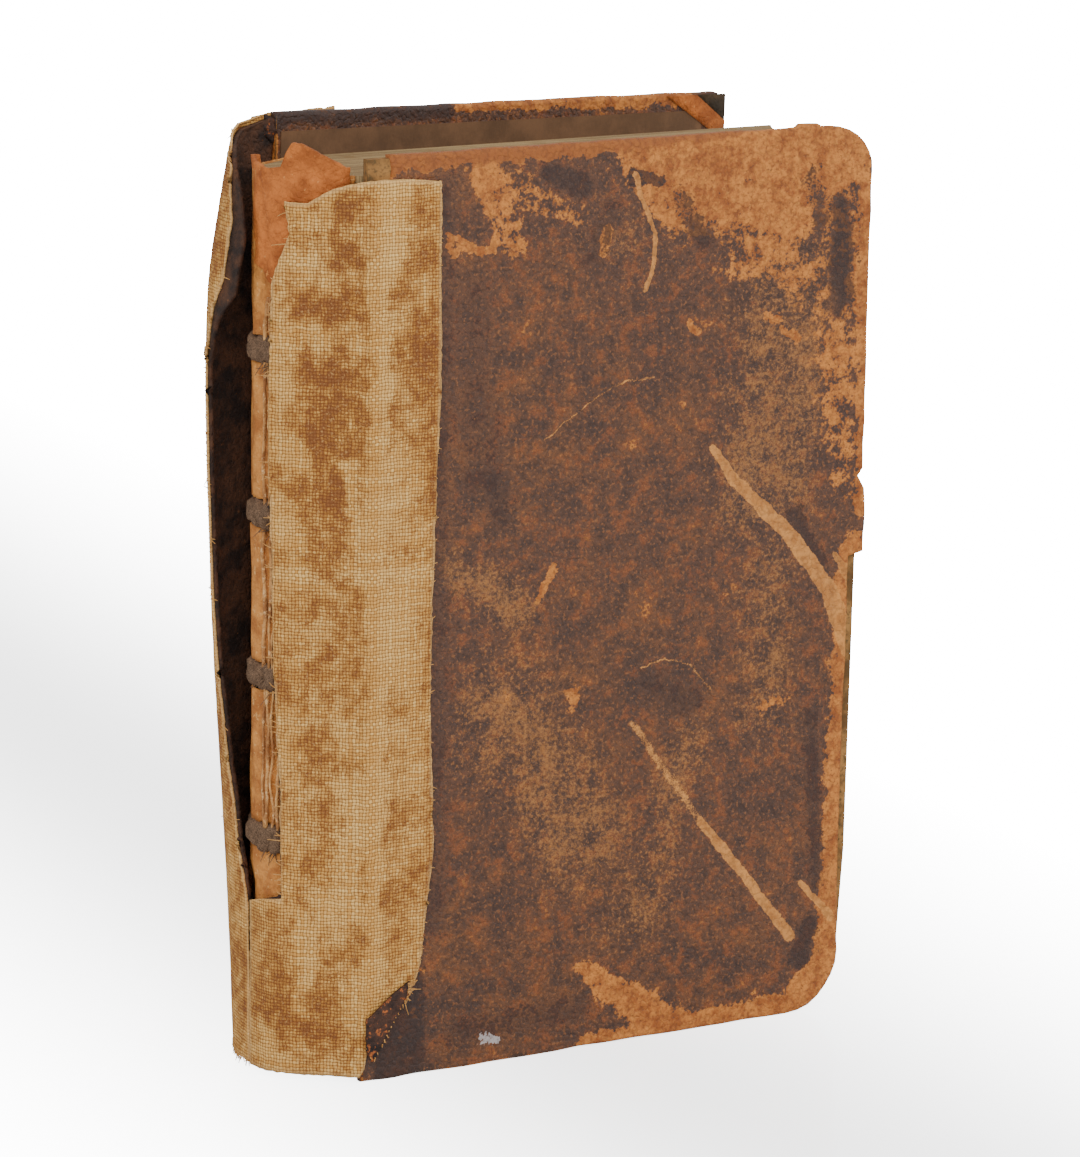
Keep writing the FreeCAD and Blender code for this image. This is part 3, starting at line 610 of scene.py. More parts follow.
@dataclass(frozen=True)
class Hemp:
    """Twisted cord or loose thread, dusty and stiff with old paste."""

    name: str
    dark: Colour
    light: Colour

    def material(self) -> bpy.types.Material:
        """Builds the material."""
        paint = Paint(self.name, 0.92, Specular_IOR_Level=0.1)
        graph, tones = paint.graph, paint.mottle(0.12)
        fibres = graph.cloud(paint.place, 3.5, 5, 0.75, 1.2)
        colour = graph.mix(graph.step(fibres, 0.32, 0.66), self.dark, self.light)
        colour = graph.mix(graph.math("MULTIPLY", graph.step(tones["Middle"], 0.5, 0.7), 0.45), colour,
                           self.dark)
        return paint.finish(colour, fibres, 0.25)


FRONT_MARKS: tuple[Mark | Line, ...] = (
    # head edge and the broad rubbed zone beside the fore edge
    Mark(Sort.WORN, (0, 180.4), (50, 180.6), (4.6, 3.4), 0.35, 1.2),
    Mark(Sort.WORN, (50, 180.6), (94, 181.0), (3.4, 2.0), 0.4, 1.2),
    Mark(Sort.WORN, (62, 178), (100, 176), (14, 17), 0.7, 1.15),
    Mark(Sort.WORN, (68, 170), (92, 166), (14, 14), 0.8, 1.05),
    Mark(Sort.WORN, (100, 172), (109, 146), (11, 9), 0.85, 0.9),
    Mark(Sort.WORN, (82, 158), (100, 150), (14, 14), 0.9, 0.62),
    Mark(Sort.WORN, (110.5, 168), (111, 104), (3.2, 3.2), 0.6, 1.0),
    Mark(Sort.WORN, (104, 138), (106, 108), (9, 6), 0.9, 0.6),
    Mark(Sort.WORN, (24, 177), (31, 162), (6, 5), 0.8, 0.85),
    Mark(Sort.WORN, (31, 172), (46, 166), (7, 5), 0.9, 0.62),
    Mark(Sort.WORN, (51, 162.5), (50, 158.5), (2.2, 1.4), 0.6, 1.0),
    # fore edge below the chip, tail edge and tail corner
    Mark(Sort.WORN, (109.6, 94), (109.0, 44), (6.0, 7.0), 0.6, 1.2),
    Mark(Sort.WORN, (109.0, 44), (107.0, 14), (7.0, 6.0), 0.6, 1.2),
    Mark(Sort.WORN, (105.5, 8), (98, 1.5), (7.0, 6.0), 0.6, 1.2),
    Mark(Sort.WORN, (98, 0.5), (50, 0.0), (5.4, 3.6), 0.5, 1.15),
    Mark(Sort.WORN, (49, 16), (66, 3), (3.0, 8.0), 0.8, 1.0),
    Mark(Sort.WORN, (12.8, 43), (12.9, 36), (1.7, 1.9), 0.5, 1.1),
    Mark(Sort.WORN, (12.4, 34), (12.9, 28), (1.2, 1.2), 0.6, 1.0),
    Mark(Sort.WORN, (11.6, 25), (11.9, 19.6), (1.3, 1.6), 0.6, 1.0),
    Mark(Sort.WORN, (10.6, 17), (11.4, 12), (2.0, 2.4), 0.8, 1.0),
    Mark(Sort.WORN, (7.4, 8.4), (11, 5.4), (2.4, 2.6), 0.8, 1.0),
    # small rubbed spots
    Mark(Sort.WORN, (87, 143.5), (90, 142.4), (1.5, 1.5), 0.6, 1.0),
    Mark(Sort.WORN, (91.8, 140.6), (94.6, 138.8), (1.6, 1.5), 0.6, 1.0),
    Mark(Sort.WORN, (69.4, 143.6), (71.6, 141.6), (0.9, 0.9), 0.5, 1.0),
    Mark(Sort.WORN, (40.6, 97.6), (37.6, 92.4), (1.1, 0.9), 0.4, 1.1),
    Mark(Sort.WORN, (45.0, 73.0), (45.8, 70.0), (2.6, 2.2), 0.9, 0.75),
    Mark(Sort.WORN, (89, 64), (93, 66), (2.4, 3.0), 0.9, 0.7),
    Line(Sort.WORN, ((16.6, 164.4), (20.4, 162.7), (17.8, 160.9), (17.0, 163.4)), (0.9, 0.9), 0.4, 1.1),
    Line(Sort.WORN, ((20.4, 161.6), (24.0, 160.6), (26.6, 161.0), (27.4, 163.4)), (1.2, 1.1), 0.4, 1.1),
    Mark(Sort.BURNISHED, (0, 180.4), (50, 180.6), (4.6, 3.6), 0.3, 1.0),
    Mark(Sort.BURNISHED, (50, 180.6), (80, 181.0), (3.6, 2.0), 0.4, 0.9),
    # dusty rubbed leather
    Mark(Sort.PALE, (30, 70), (48, 44), (26, 24), 1.0, 1.0),
    Mark(Sort.PALE, (20, 98), (34, 90), (12, 10), 1.0, 1.0),
    Mark(Sort.PALE, (92, 150), (88, 112), (20, 22), 0.8, 1.0),
    Mark(Sort.PALE, (90, 98), (90, 62), (12, 15), 1.0, 0.9),
    Mark(Sort.PALE, (72, 60), (60, 26), (12, 18), 1.0, 0.8),
    Mark(Sort.PALE, (30, 174), (60, 160), (12, 16), 1.0, 0.6),
    # dark patches
    Mark(Sort.DARK, (104, 164), (105, 146), (5.0, 5.5), 0.9, 0.8),
    Mark(Sort.DARK, (97, 170), (100, 162), (5.0, 4.0), 0.9, 0.55),
    Mark(Sort.DARK, (15.4, 174), (15.2, 30), (7.0, 6.0), 1.0, 0.5),
    Mark(Sort.DARK, (22, 154), (24, 118), (8.0, 10.0), 0.9, 0.45),
    Mark(Sort.DARK, (27, 116), (29, 109), (6.0, 6.0), 0.9, 0.62),
    Mark(Sort.DARK, (38, 175), (46, 172), (3.6, 4.6), 0.8, 0.72),
    Mark(Sort.DARK, (52, 166), (48, 158), (5.0, 5.0), 0.9, 0.5),
    Mark(Sort.DARK, (57, 172.6), (63, 172.0), (2.0, 1.8), 0.6, 0.85),
    Mark(Sort.DARK, (67, 168), (73, 160), (4.4, 5.0), 0.9, 0.62),
    Mark(Sort.DARK, (62, 73), (72, 68), (6.0, 7.0), 1.0, 0.6),
    Mark(Sort.DARK, (95, 103), (101, 92), (4.0, 3.4), 0.8, 0.66),
    Mark(Sort.DARK, (100, 62), (102.6, 26), (4.0, 4.0), 0.9, 0.6),
    Mark(Sort.DARK, (101.4, 18), (99, 11), (3.8, 3.6), 0.7, 0.75),
    Mark(Sort.DARK, (48, 9), (20, 7), (6.0, 6.0), 0.9, 0.5),
    Mark(Sort.DARK, (13.4, 44), (10.6, 22), (1.6, 3.4), 0.6, 0.75),
    Mark(Sort.DARK, (9.4, 18), (8.0, 3), (5.4, 7.6), 0.5, 0.95),
    # scratches
    Line(Sort.SCRATCH, ((75.8, 118.4), (81.1, 111.5), (94.2, 99.3), (103.4, 87.6), (109.0, 75.0)),
         (0.9, 2.6), 0.25, 1.0),
    Mark(Sort.SCRATCH, (104.6, 94.5), (109.4, 88.0), (0.7, 2.0), 0.4, 0.85),
    Line(Sort.SCRATCH, ((58.8, 65.2), (66.6, 54.6), (76.0, 42.0)), (1.2, 1.6), 0.8, 0.5),
    Line(Sort.SCRATCH, ((74.9, 43.3), (84.5, 31.8), (96.7, 16.4)), (1.1, 1.5), 0.4, 0.9),
    Mark(Sort.SCRATCH, (98.8, 27.2), (106.4, 19.2), (0.8, 1.0), 0.4, 0.95),
    Line(Sort.SCRATCH, ((57.4, 173.2), (59.0, 168.0), (61.7, 162.2), (61.9, 155.4), (59.8, 150.7)),
         (0.75, 0.6), 0.5, 0.85),
    Line(Sort.SCRATCH, ((38.2, 123.3), (50.2, 131.0), (56.0, 133.2), (62.4, 133.5)), (0.2, 0.26), 0.5, 0.56),
    Line(Sort.SCRATCH, ((60.4, 76.0), (66.0, 77.2), (71.8, 75.3), (77.0, 69.7)), (0.22, 0.28), 0.5, 0.56),
    Mark(Sort.CLEAN, (26.6, 5.2), (29.6, 4.6), (2.2, 1.6), 0.9, 1.0),
)

REAR_MARKS: tuple[Mark | Line, ...] = (
    Mark(Sort.WORN, (44, 180.6), (104, 180.6), (3.0, 4.0), 0.5, 1.1),
    Mark(Sort.WORN, (109, 178), (109, 172), (4.0, 3.0), 0.6, 0.7),
    Mark(Sort.WORN, (111.6, 160), (111.6, 20), (2.6, 3.0), 0.6, 1.0),
    Mark(Sort.WORN, (108, 5), (60, 0), (4.0, 2.4), 0.6, 1.0),
    Mark(Sort.WORN, (70, 150), (95, 160), (14, 10), 0.9, 0.55),
    Mark(Sort.WORN, (40, 30), (70, 22), (8, 12), 0.9, 0.6),
    Mark(Sort.PALE, (60, 90), (80, 60), (30, 24), 1.0, 1.0),
    Mark(Sort.PALE, (30, 150), (60, 130), (18, 16), 1.0, 0.8),
    Mark(Sort.DARK, (15.6, 176), (15.6, 4), (3.0, 3.0), 0.8, 0.7),
    Mark(Sort.DARK, (60, 120), (80, 110), (12, 10), 0.9, 0.5),
    Mark(Sort.DARK, (0, 180), (40, 180), (4.0, 4.0), 0.7, 0.8),
    Mark(Sort.DARK, (106.5, 178), (111, 180), (5.0, 5.0), 0.5, 1.0),
    Line(Sort.SCRATCH, ((30, 60), (52, 48), (70, 42)), (0.5, 0.9), 0.4, 0.8),
)

CLOTH_MARKS: tuple[Mark | Line, ...] = (
    # the slope of the spine, browned by handling
    Mark(Sort.DARK, (7.5, 150), (7.5, 96), (6.0, 6.5), 1.0, 0.72),
    Mark(Sort.DARK, (9, 84), (8.5, 56), (5.0, 5.0), 1.0, 0.6),
    Mark(Sort.DARK, (11, 140), (11, 40), (3.0, 3.0), 1.0, 0.5),
    Mark(Sort.DARK, (4.6, 172), (5.6, 158), (3.4, 4.6), 0.8, 0.9),
    Mark(Sort.DARK, (3, 154), (12, 152), (3.6, 3.6), 0.9, 0.8),
    Mark(Sort.DARK, (3, 139), (10, 136), (5.0, 6.0), 1.0, 0.7),
    Mark(Sort.DARK, (5, 27), (14, 9), (4.0, 5.0), 1.0, 0.2),
    Mark(Sort.DARK, (15.5, 30), (15.5, 15), (2.6, 3.4), 0.9, 0.5),
    # the front cover's strip
    Mark(Sort.DARK, (-11.5, 173), (-13, 168), (4.0, 4.0), 0.9, 0.7),
    Mark(Sort.DARK, (-9, 152), (-12, 128), (3.0, 4.0), 1.0, 0.5),
    Mark(Sort.DARK, (-13.8, 160), (-14, 30), (1.6, 1.6), 0.8, 0.5),
    Mark(Sort.DARK, (-6, 40), (-10, 26), (6.0, 5.0), 1.0, 0.36),
    Mark(Sort.CLEAN, (-6.5, 120), (-7, 60), (7.0, 7.0), 1.0, 0.55),
    # Painted highlight: this long pale band follows the bend at the front joint.
    Mark(Sort.CLEAN, (-2.0, 160), (-2.2, 20), (3.4, 3.4), 0.9, 1.0),
    Mark(Sort.CLEAN, (-5, 173), (-4, 158), (5.0, 4.0), 1.0, 0.9),
    Mark(Sort.CLEAN, (9.5, 147), (9.5, 142), (3.0, 3.0), 0.9, 0.9),
    Mark(Sort.CLEAN, (3.6, 122), (4, 113), (2.0, 2.6), 0.9, 1.0),
    Mark(Sort.CLEAN, (2, 60), (3, 34), (5.0, 6.0), 1.0, 0.7),
    Mark(Sort.CLEAN, (12.5, 30), (11, 20), (2.6, 3.0), 0.9, 0.9),
    # the loose flap
    Mark(Sort.DARK, (34, 176), (50, 138), (15, 9), 0.9, 1.0),
    Mark(Sort.DARK, (50, 150), (50, 110), (6, 5), 0.9, 0.8),
    Mark(Sort.DARK, (28, 22), (27, 12), (3, 3), 0.9, 0.8),
)


class Finish(Enum):
    """Each finish of the book, with what builds its material."""

    FRONT_LEATHER = CoverLeather("front_calf", FRONT_MARKS)
    REAR_LEATHER = CoverLeather("rear_calf", REAR_MARKS)
    CANVAS = Canvas("canvas", CLOTH_MARKS)
    OLD_LEATHER = RawLeather("old_leather", tint(42, 34, 31), tint(86, 62, 48), tint(128, 90, 60), 0.7)
    HEAD_LEATHER = RawLeather("head_leather", tint(142, 86, 48), tint(190, 122, 72), tint(214, 156, 102), 0.68)
    PEELED = RawLeather("peeled_leather", tint(34, 28, 26), tint(58, 46, 38), tint(176, 128, 78), 0.58)
    LINING = RawLeather("pasted_lining", tint(160, 108, 64), tint(206, 150, 92), tint(222, 180, 126), 0.64, 0.25)
    PASTE = RawLeather("old_paste", tint(150, 108, 74), tint(206, 164, 116), tint(228, 194, 150), 0.6, 0.3)
    FOLDED = RawLeather("folded_leather", tint(38, 32, 31), tint(76, 56, 47), tint(180, 112, 68), 0.61)
    CORNER = RawLeather("corner_leather", tint(52, 44, 34), tint(84, 68, 50), tint(124, 92, 62), 0.7)
    PAGES = PageEdges("page_edges")
    BOARD = PulpBoard("pulp_board")
    ENDPAPER = Paper("endpaper", tint(112, 88, 69), tint(86, 68, 54))
    CORD = Hemp("hemp_cord", tint(66, 55, 47), tint(146, 122, 102))
    THREAD = Hemp("cloth_thread", tint(170, 122, 74), tint(230, 190, 138))

    def material(self) -> bpy.types.Material:
        """The material, built once."""
        found = bpy.data.materials.get(self.value.name)
        return found or self.value.material()


# Lines that the coverings follow.

class Path:
    """A line across the book at one height, with lengths counted from the front joint."""

    def __init__(self, points: list[Vector], zero: int) -> None:
        self.points = points
        lengths = [0.0]
        for start, end in zip(points, points[1:]):
            lengths.append(lengths[-1] + (end - start).length)
        self.lengths = [length - lengths[zero] for length in lengths]

    def at(self, length: float) -> tuple[Vector, Vector]:
        """The point at a length, and the direction outwards there."""
        index = max(0, min(len(self.points) - 2, bisect_right(self.lengths, length) - 1))
        start, end = self.points[index], self.points[index + 1]
        along = (end - start).normalized()
        point = start + along * (length - self.lengths[index])
        return point, Vector((-along.y, along.x))

    def where(self, across: float) -> float:
        """The first length beyond the front joint at which the line reaches a y."""
        for index, (start, end) in enumerate(zip(self.points, self.points[1:])):
            if self.lengths[index] >= 0 and across < start.y:
                return self.lengths[index]
            if self.lengths[index] >= 0 and across <= end.y:
                share = (across - start.y) / max(1e-6, end.y - start.y)
                return self.lengths[index] + share * (end - start).length
        return self.lengths[-1]


def smooth_line(points: list[Vector], first: Vector, last: Vector, steps: int = 9) -> list[Vector]:
    """A smooth line through points.

    Args:
        points: What it passes through.
        first: The direction in which it leaves.
        last: The direction in which it arrives.
        steps: Points to each span.

    Returns:
        The line's points.
    """
    slopes = [first] + [(after - before).normalized() for before, after in zip(points, points[2:])] + [last]
    line: list[Vector] = []
    for start, end, leave, arrive in zip(points, points[1:], slopes, slopes[1:]):
        third = (end - start).length / 3
        line.extend(geometry.interpolate_bezier(start, start + leave * third, end - arrive * third, end,
                                                steps)[:-1])
    return line + [points[-1]]


@dataclass
class Spine:
    """The sizes of the pages' rounded back and of the loose spine over it."""

    nose: float = 8.77
    nose_x: float = -4.33
    middle: float = 16.85
    slope: float = 31.5
    stack: float = 2.2
    cloth: float = 0.5
    joint_gap: float = 0.8
    front_sink: float = 0.6
    rear_sink: float = 0.5
    rear_joint: tuple[float, float] = (-7.6, 37.6)
    rear_lift: float = 3.785
    opening: float = 8.5
    sag: float = 2.0
    reach: float = 16.5
    heights: tuple[float, ...] = (1.2, 34.0, 92.0, 150.0, 185.0)
    lifts: tuple[float, ...] = (0.0, 0.0, 1.6, 2.5, -0.5)
    bulges: tuple[float, ...] = (-0.8, 0.0, 3.2, 4.4, -0.7)
    behinds: tuple[float, ...] = (2.6, 5.4, 11.0, 12.8, 8.2)
    befores: tuple[float, ...] = (2.8, 3.2, 4.6, 3.9, 3.5)

    def rear_joint_at(self, height: float) -> tuple[Vector, Vector, Vector]:
        """The rear joint at a height, and the rear cover's directions along and outwards."""
        turn = math.radians(self.opening)
        along, outward = Vector((math.cos(turn), math.sin(turn))), Vector((-math.sin(turn), math.cos(turn)))
        lean = math.tan(math.radians(self.sag)) * (height - self.rear_lift)
        return Vector(self.rear_joint) + along * lean, along, outward

    def cover_path(self, height: float, depth: float = 0.0) -> Path:
        """The line of the loose spine at a depth inwards from the cloth's outer face.

        It starts on the front cover, passes its joint at length 0, goes round the nose and the rear
        joint and ends on the rear cover.
        """
        lift, bulge, behind, before = (
            eased(list(zip(self.heights, values)), height)
            for values in (self.lifts, self.bulges, self.behinds, self.befores))
        nose = Vector((self.nose_x, self.middle))
        radius = self.nose + self.stack
        start = Vector((-self.joint_gap, self.front_sink))
        reach = nose - start
        turn = math.atan2(reach.y, reach.x) + math.asin(radius / reach.length)
        slope = Vector((math.cos(turn), math.sin(turn)))
        top = start + slope * math.sqrt(reach.length ** 2 - radius ** 2)
        halfway = ((top - nose).normalized() + Vector((-1, 0))).normalized()
        joint, along, outward = self.rear_joint_at(height)
        end = joint - along * self.joint_gap - outward * self.rear_sink
        behind_joint = joint + Vector((-behind, -before))
        curve = smooth_line([top, nose + halfway * (radius + lift * 0.3), nose + Vector((-radius - lift, 0)),
                             nose + Vector((-radius - bulge, radius * 0.87)), behind_joint, end],
                            slope, (end - behind_joint).normalized())
        front = [Vector((self.reach, -self.cloth)), Vector((0.7, -self.cloth)), Vector((0.1, -0.3)), start]
        rear = [joint + along * 0.7 + outward * self.cloth, joint + along * self.reach + outward * self.cloth]
        points = front + curve + rear
        if depth:
            moved = []
            for index, point in enumerate(points):
                tangent = (points[min(index + 1, len(points) - 1)] - points[max(0, index - 1)]).normalized()
                moved.append(point + Vector((tangent.y, -tangent.x)) * depth)
            points = moved
        return Path(points, 2)

    def page_path(self, offset: float) -> Path:
        """The line of the pages' folds, moved outwards, from the front shoulder to the rear one."""
        radius = self.nose + offset
        sine, cosine = math.sin(math.radians(self.slope)), math.cos(math.radians(self.slope))
        run = (1.0 - self.nose_x + self.nose * sine) / cosine * 0.92
        centre = Vector((self.nose_x, self.middle))
        front = centre + Vector((-radius * sine, -radius * cosine))
        points = [front + Vector((cosine, -sine)) * run]
        arc = math.radians(90 - self.slope)
        for index in range(25):
            angle = math.pi + arc - 2 * arc * index / 24
            points.append(centre + Vector((math.cos(angle), math.sin(angle))) * radius)
        points.append(points[-1] + Vector((cosine, sine)) * run)
        return Path(points, 0)


def in_model(point: Vector | Sequence[float]) -> Vector:
    """A point of the book's own frame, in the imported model's frame and in metres."""
    return (Vector(point) - ORIGIN) * MM


# Meshes.

class Maker:
    """Turns a bmesh into a piece of the book."""

    @staticmethod
    def piece(name: str, bm: bmesh.types.BMesh, finish: Finish, smooth: bool = True) -> bpy.types.Object:
        """Makes an object of a bmesh, at the origin, and dresses it.

        Args:
            name: The piece's name.
            bm: Its mesh, which is freed.
            finish: Its finish.
            smooth: Whether its faces are shaded smooth.

        Returns:
            The object.
        """
        mesh = bpy.data.meshes.new(name)
        bm.to_mesh(mesh)
        bm.free()
        mesh.materials.append(finish.material())
        for polygon in mesh.polygons:
            polygon.use_smooth = smooth
        piece = bpy.data.objects.new(name, mesh)
        bpy.context.scene.collection.objects.link(piece)
        return piece

    @staticmethod
    def thickened(piece: bpy.types.Object, thickness: float) -> None:
        """Gives a sheet its thickness, inwards from its outer face."""
        wall = piece.modifiers.new("thickness", "SOLIDIFY")
        wall.thickness = thickness * MM
        wall.offset = -1

    @staticmethod
    def tube(bm: bmesh.types.BMesh, rings: list[list[Vector]]) -> None:
        """Joins rings of points into a closed tube, each ring extruded from the last."""
        made = bmesh.ops.create_circle(bm, cap_ends=True, segments=len(rings[0]), radius=MM)
        ring = made["verts"]
        for vertex, place in zip(ring, rings[0]):
            vertex.co = place
        edges = [edge for edge in ring[0].link_faces[0].edges]
        for places in rings[1:]:
            order = {vertex: place for vertex, place in zip(ring, places)}
            made = bmesh.ops.extrude_edge_only(bm, edges=edges)
            fresh = [item for item in made["geom"] if isinstance(item, bmesh.types.BMVert)]
            edges = [item for item in made["geom"] if isinstance(item, bmesh.types.BMEdge)
                     and all(vertex in fresh for vertex in item.verts)]
            source = {vertex: next(edge.other_vert(vertex) for edge in vertex.link_edges
                                   if edge.other_vert(vertex) in order) for vertex in fresh}
            for vertex in fresh:
                vertex.co = order[source[vertex]]
            ring = sorted(fresh, key=lambda vertex: ring.index(source[vertex]))
        bmesh.ops.contextual_create(bm, geom=edges)


@dataclass
class Sheet:
    """A pliable sheet that follows a path at each height, between torn or cut edges.

    start and end read a height and the path there, and give lengths. foot and head read a length.
    """

    name: str
    finish: Finish
    path: Callable[[float], Path]
    start: Callable[[float, Path], float]
    end: Callable[[float, Path], float]
    foot: Table
    head: Table
    thickness: float
    cell: float = 0.9
    fray: float = 0.35
    ripple: float = 0.12
    seed: float = 1.0
    lift: Callable[[float, float], float] | None = None
    edges: dict[str, list[tuple[Vector, Vector]]] = field(default_factory=dict)
    area: float = 0.0
    widest: tuple[float, float] = (0.0, 0.0)
    kept: dict[float, Path] = field(default_factory=dict)

    def build(self) -> bpy.types.Object:
        """Makes the sheet: a grid laid on its path and trimmed to its edges."""
        low, high = self.foot[0][1], max(height for _, height in self.head)
        rows = max(8, round((high - low) / self.cell))
        heights = [low + (high - low) * row / 40 for row in range(41)]
        self.widest = (min(self.start(height, self.row_path(height)) for height in heights),
                       max(self.end(height, self.row_path(height)) for height in heights))
        columns = max(6, round((self.widest[1] - self.widest[0]) / self.cell))
        bm = bmesh.new()
        bmesh.ops.create_grid(bm, x_segments=columns, y_segments=rows, size=0.5)
        border = bm.verts.layers.float.new("edge")
        flat: dict[int, tuple[float, float]] = {}
        for vertex in bm.verts:
            share, climb = vertex.co.x + 0.5, vertex.co.y + 0.5
            row = round(climb * rows)
            length, height, side = self.spot(share, climb, low, high)
            path = self.row_path(height)
            point, outward = path.at(length)
            wave = noise.fractal(Vector((length * 0.09, height * 0.05, self.seed * 3.7)), 0.7, 2.0, 3)
            stand = wave * self.ripple + (self.lift(length, height) if self.lift else 0.0)
            vertex.co = in_model((*(point + outward * stand), height))
            flat[vertex.index] = (length, height)
            side = "head" if row == rows else "foot" if row == 0 else side
            if side:
                across = Vector((outward.y, -outward.x, 0))
                aim = {"head": Vector((0, 0, 1)), "foot": Vector((0, 0, -1)), "start": -across, "end": across}
                self.edges.setdefault(side, []).append((vertex.co.copy(), aim[side]))
                vertex[border] = 1.0
        self.face_out(bm)
        layer = bm.loops.layers.uv.new("flat")
        for face in bm.faces:
            for loop in face.loops:
                length, height = flat[loop.vert.index]
                loop[layer].uv = (length * MM, height * MM)
        bmesh.ops.remove_doubles(bm, verts=bm.verts, dist=0.03 * MM)
        self.area = sum(face.calc_area() for face in bm.faces)
        piece = Maker.piece(self.name, bm, self.finish)
        Maker.thickened(piece, self.thickness)
        return piece

    def row_path(self, height: float) -> Path:
        """The path at a height, kept for the heights near it."""
        key = round(height * 2) / 2
        if key not in self.kept:
            self.kept[key] = self.path(key)
        return self.kept[key]

    def spot(self, share: float, climb: float, low: float, high: float) -> tuple[float, float, str]:
        """The length and height of a point of the grid, and the side edge that it lies on, if any."""
        first, last = self.widest
        length = first + (last - first) * share
        bottom, top = between(self.foot, length), between(self.head, length)
        height = bottom + (top - bottom) * climb
        path = self.row_path(height)
        start, end = self.start(height, path), self.end(height, path)
        side = "start" if length <= start + 0.01 else "end" if length >= end - 0.01 else ""
        length = max(start, min(end, length))
        if side:
            bottom, top = between(self.foot, length), between(self.head, length)
            height = bottom + (top - bottom) * climb
            length += ragged(height, self.seed, self.fray)
        height += ragged(length, self.seed + 5, self.fray) * (max(0.0, climb * 40 - 39) + max(0.0, 1 - climb * 40))
        return length, height, side

    def face_out(self, bm: bmesh.types.BMesh) -> None:
        """Turns the faces outwards, away from the middle of the pages."""
        centre = in_model((10.0, 17.0, 90.0))
        total = sum((face.calc_center_median() - centre).dot(face.normal) for face in bm.faces
                    if face.calc_center_median().x < centre.x)
        bm.normal_update()
        total = sum((face.calc_center_median() - centre).dot(face.normal) for face in bm.faces)
        if total < 0:
            bmesh.ops.reverse_faces(bm, faces=bm.faces[:])


def threads(name: str, roots: list[tuple[Vector, Vector]], body: str, length: float, count: int,
            seed: int, finish: Finish = Finish.THREAD) -> bpy.types.Object:
    """Frayed threads along a torn edge.

    Args:
        name: The piece's name.
        roots: Points of the edge, each with the direction away from the cloth.
        body: The body that they ride on.
        length: The longest thread, in millimetres.
        count: How many there are.
        seed: What sets their shapes.
        finish: Their finish.

    Returns:
        The piece.
    """
    chance = random.Random(seed)
    curve = bpy.data.curves.new(name, "CURVE")
    curve.dimensions = "3D"
    curve.bevel_depth = 0.13 * MM
    curve.bevel_resolution = 1
    curve.resolution_u = 3
    for _ in range(count):
        root, aim = chance.choice(roots)
        spline = curve.splines.new("NURBS")
        spline.points.add(4)
        reach = length * chance.uniform(0.25, 1.0) ** 1.5
        sway = Vector([chance.uniform(-1, 1) for _ in range(3)])
        for index, point in enumerate(spline.points):
            share = index / 4
            bend = sway * (share * share * reach * 0.55)
            place = root + (aim * (share * reach - 0.5) + bend) * MM
            point.co = (*place, 1.0)
            point.radius = 1.0 - 0.5 * share
        spline.order_u = 3
        spline.use_endpoint_u = True
    drawn = bpy.data.objects.new(f"{name}_line", curve)
    bpy.context.scene.collection.objects.link(drawn)
    bpy.context.view_layer.update()
    mesh = bpy.data.meshes.new_from_object(drawn.evaluated_get(bpy.context.evaluated_depsgraph_get()))
    bpy.data.objects.remove(drawn)
    mesh.name = name
    mesh.materials.clear()
    mesh.materials.append(finish.material())
    piece = bpy.data.objects.new(name, mesh)
    bpy.context.scene.collection.objects.link(piece)
    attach(piece, body)
    return piece


# Sub-assemblies.

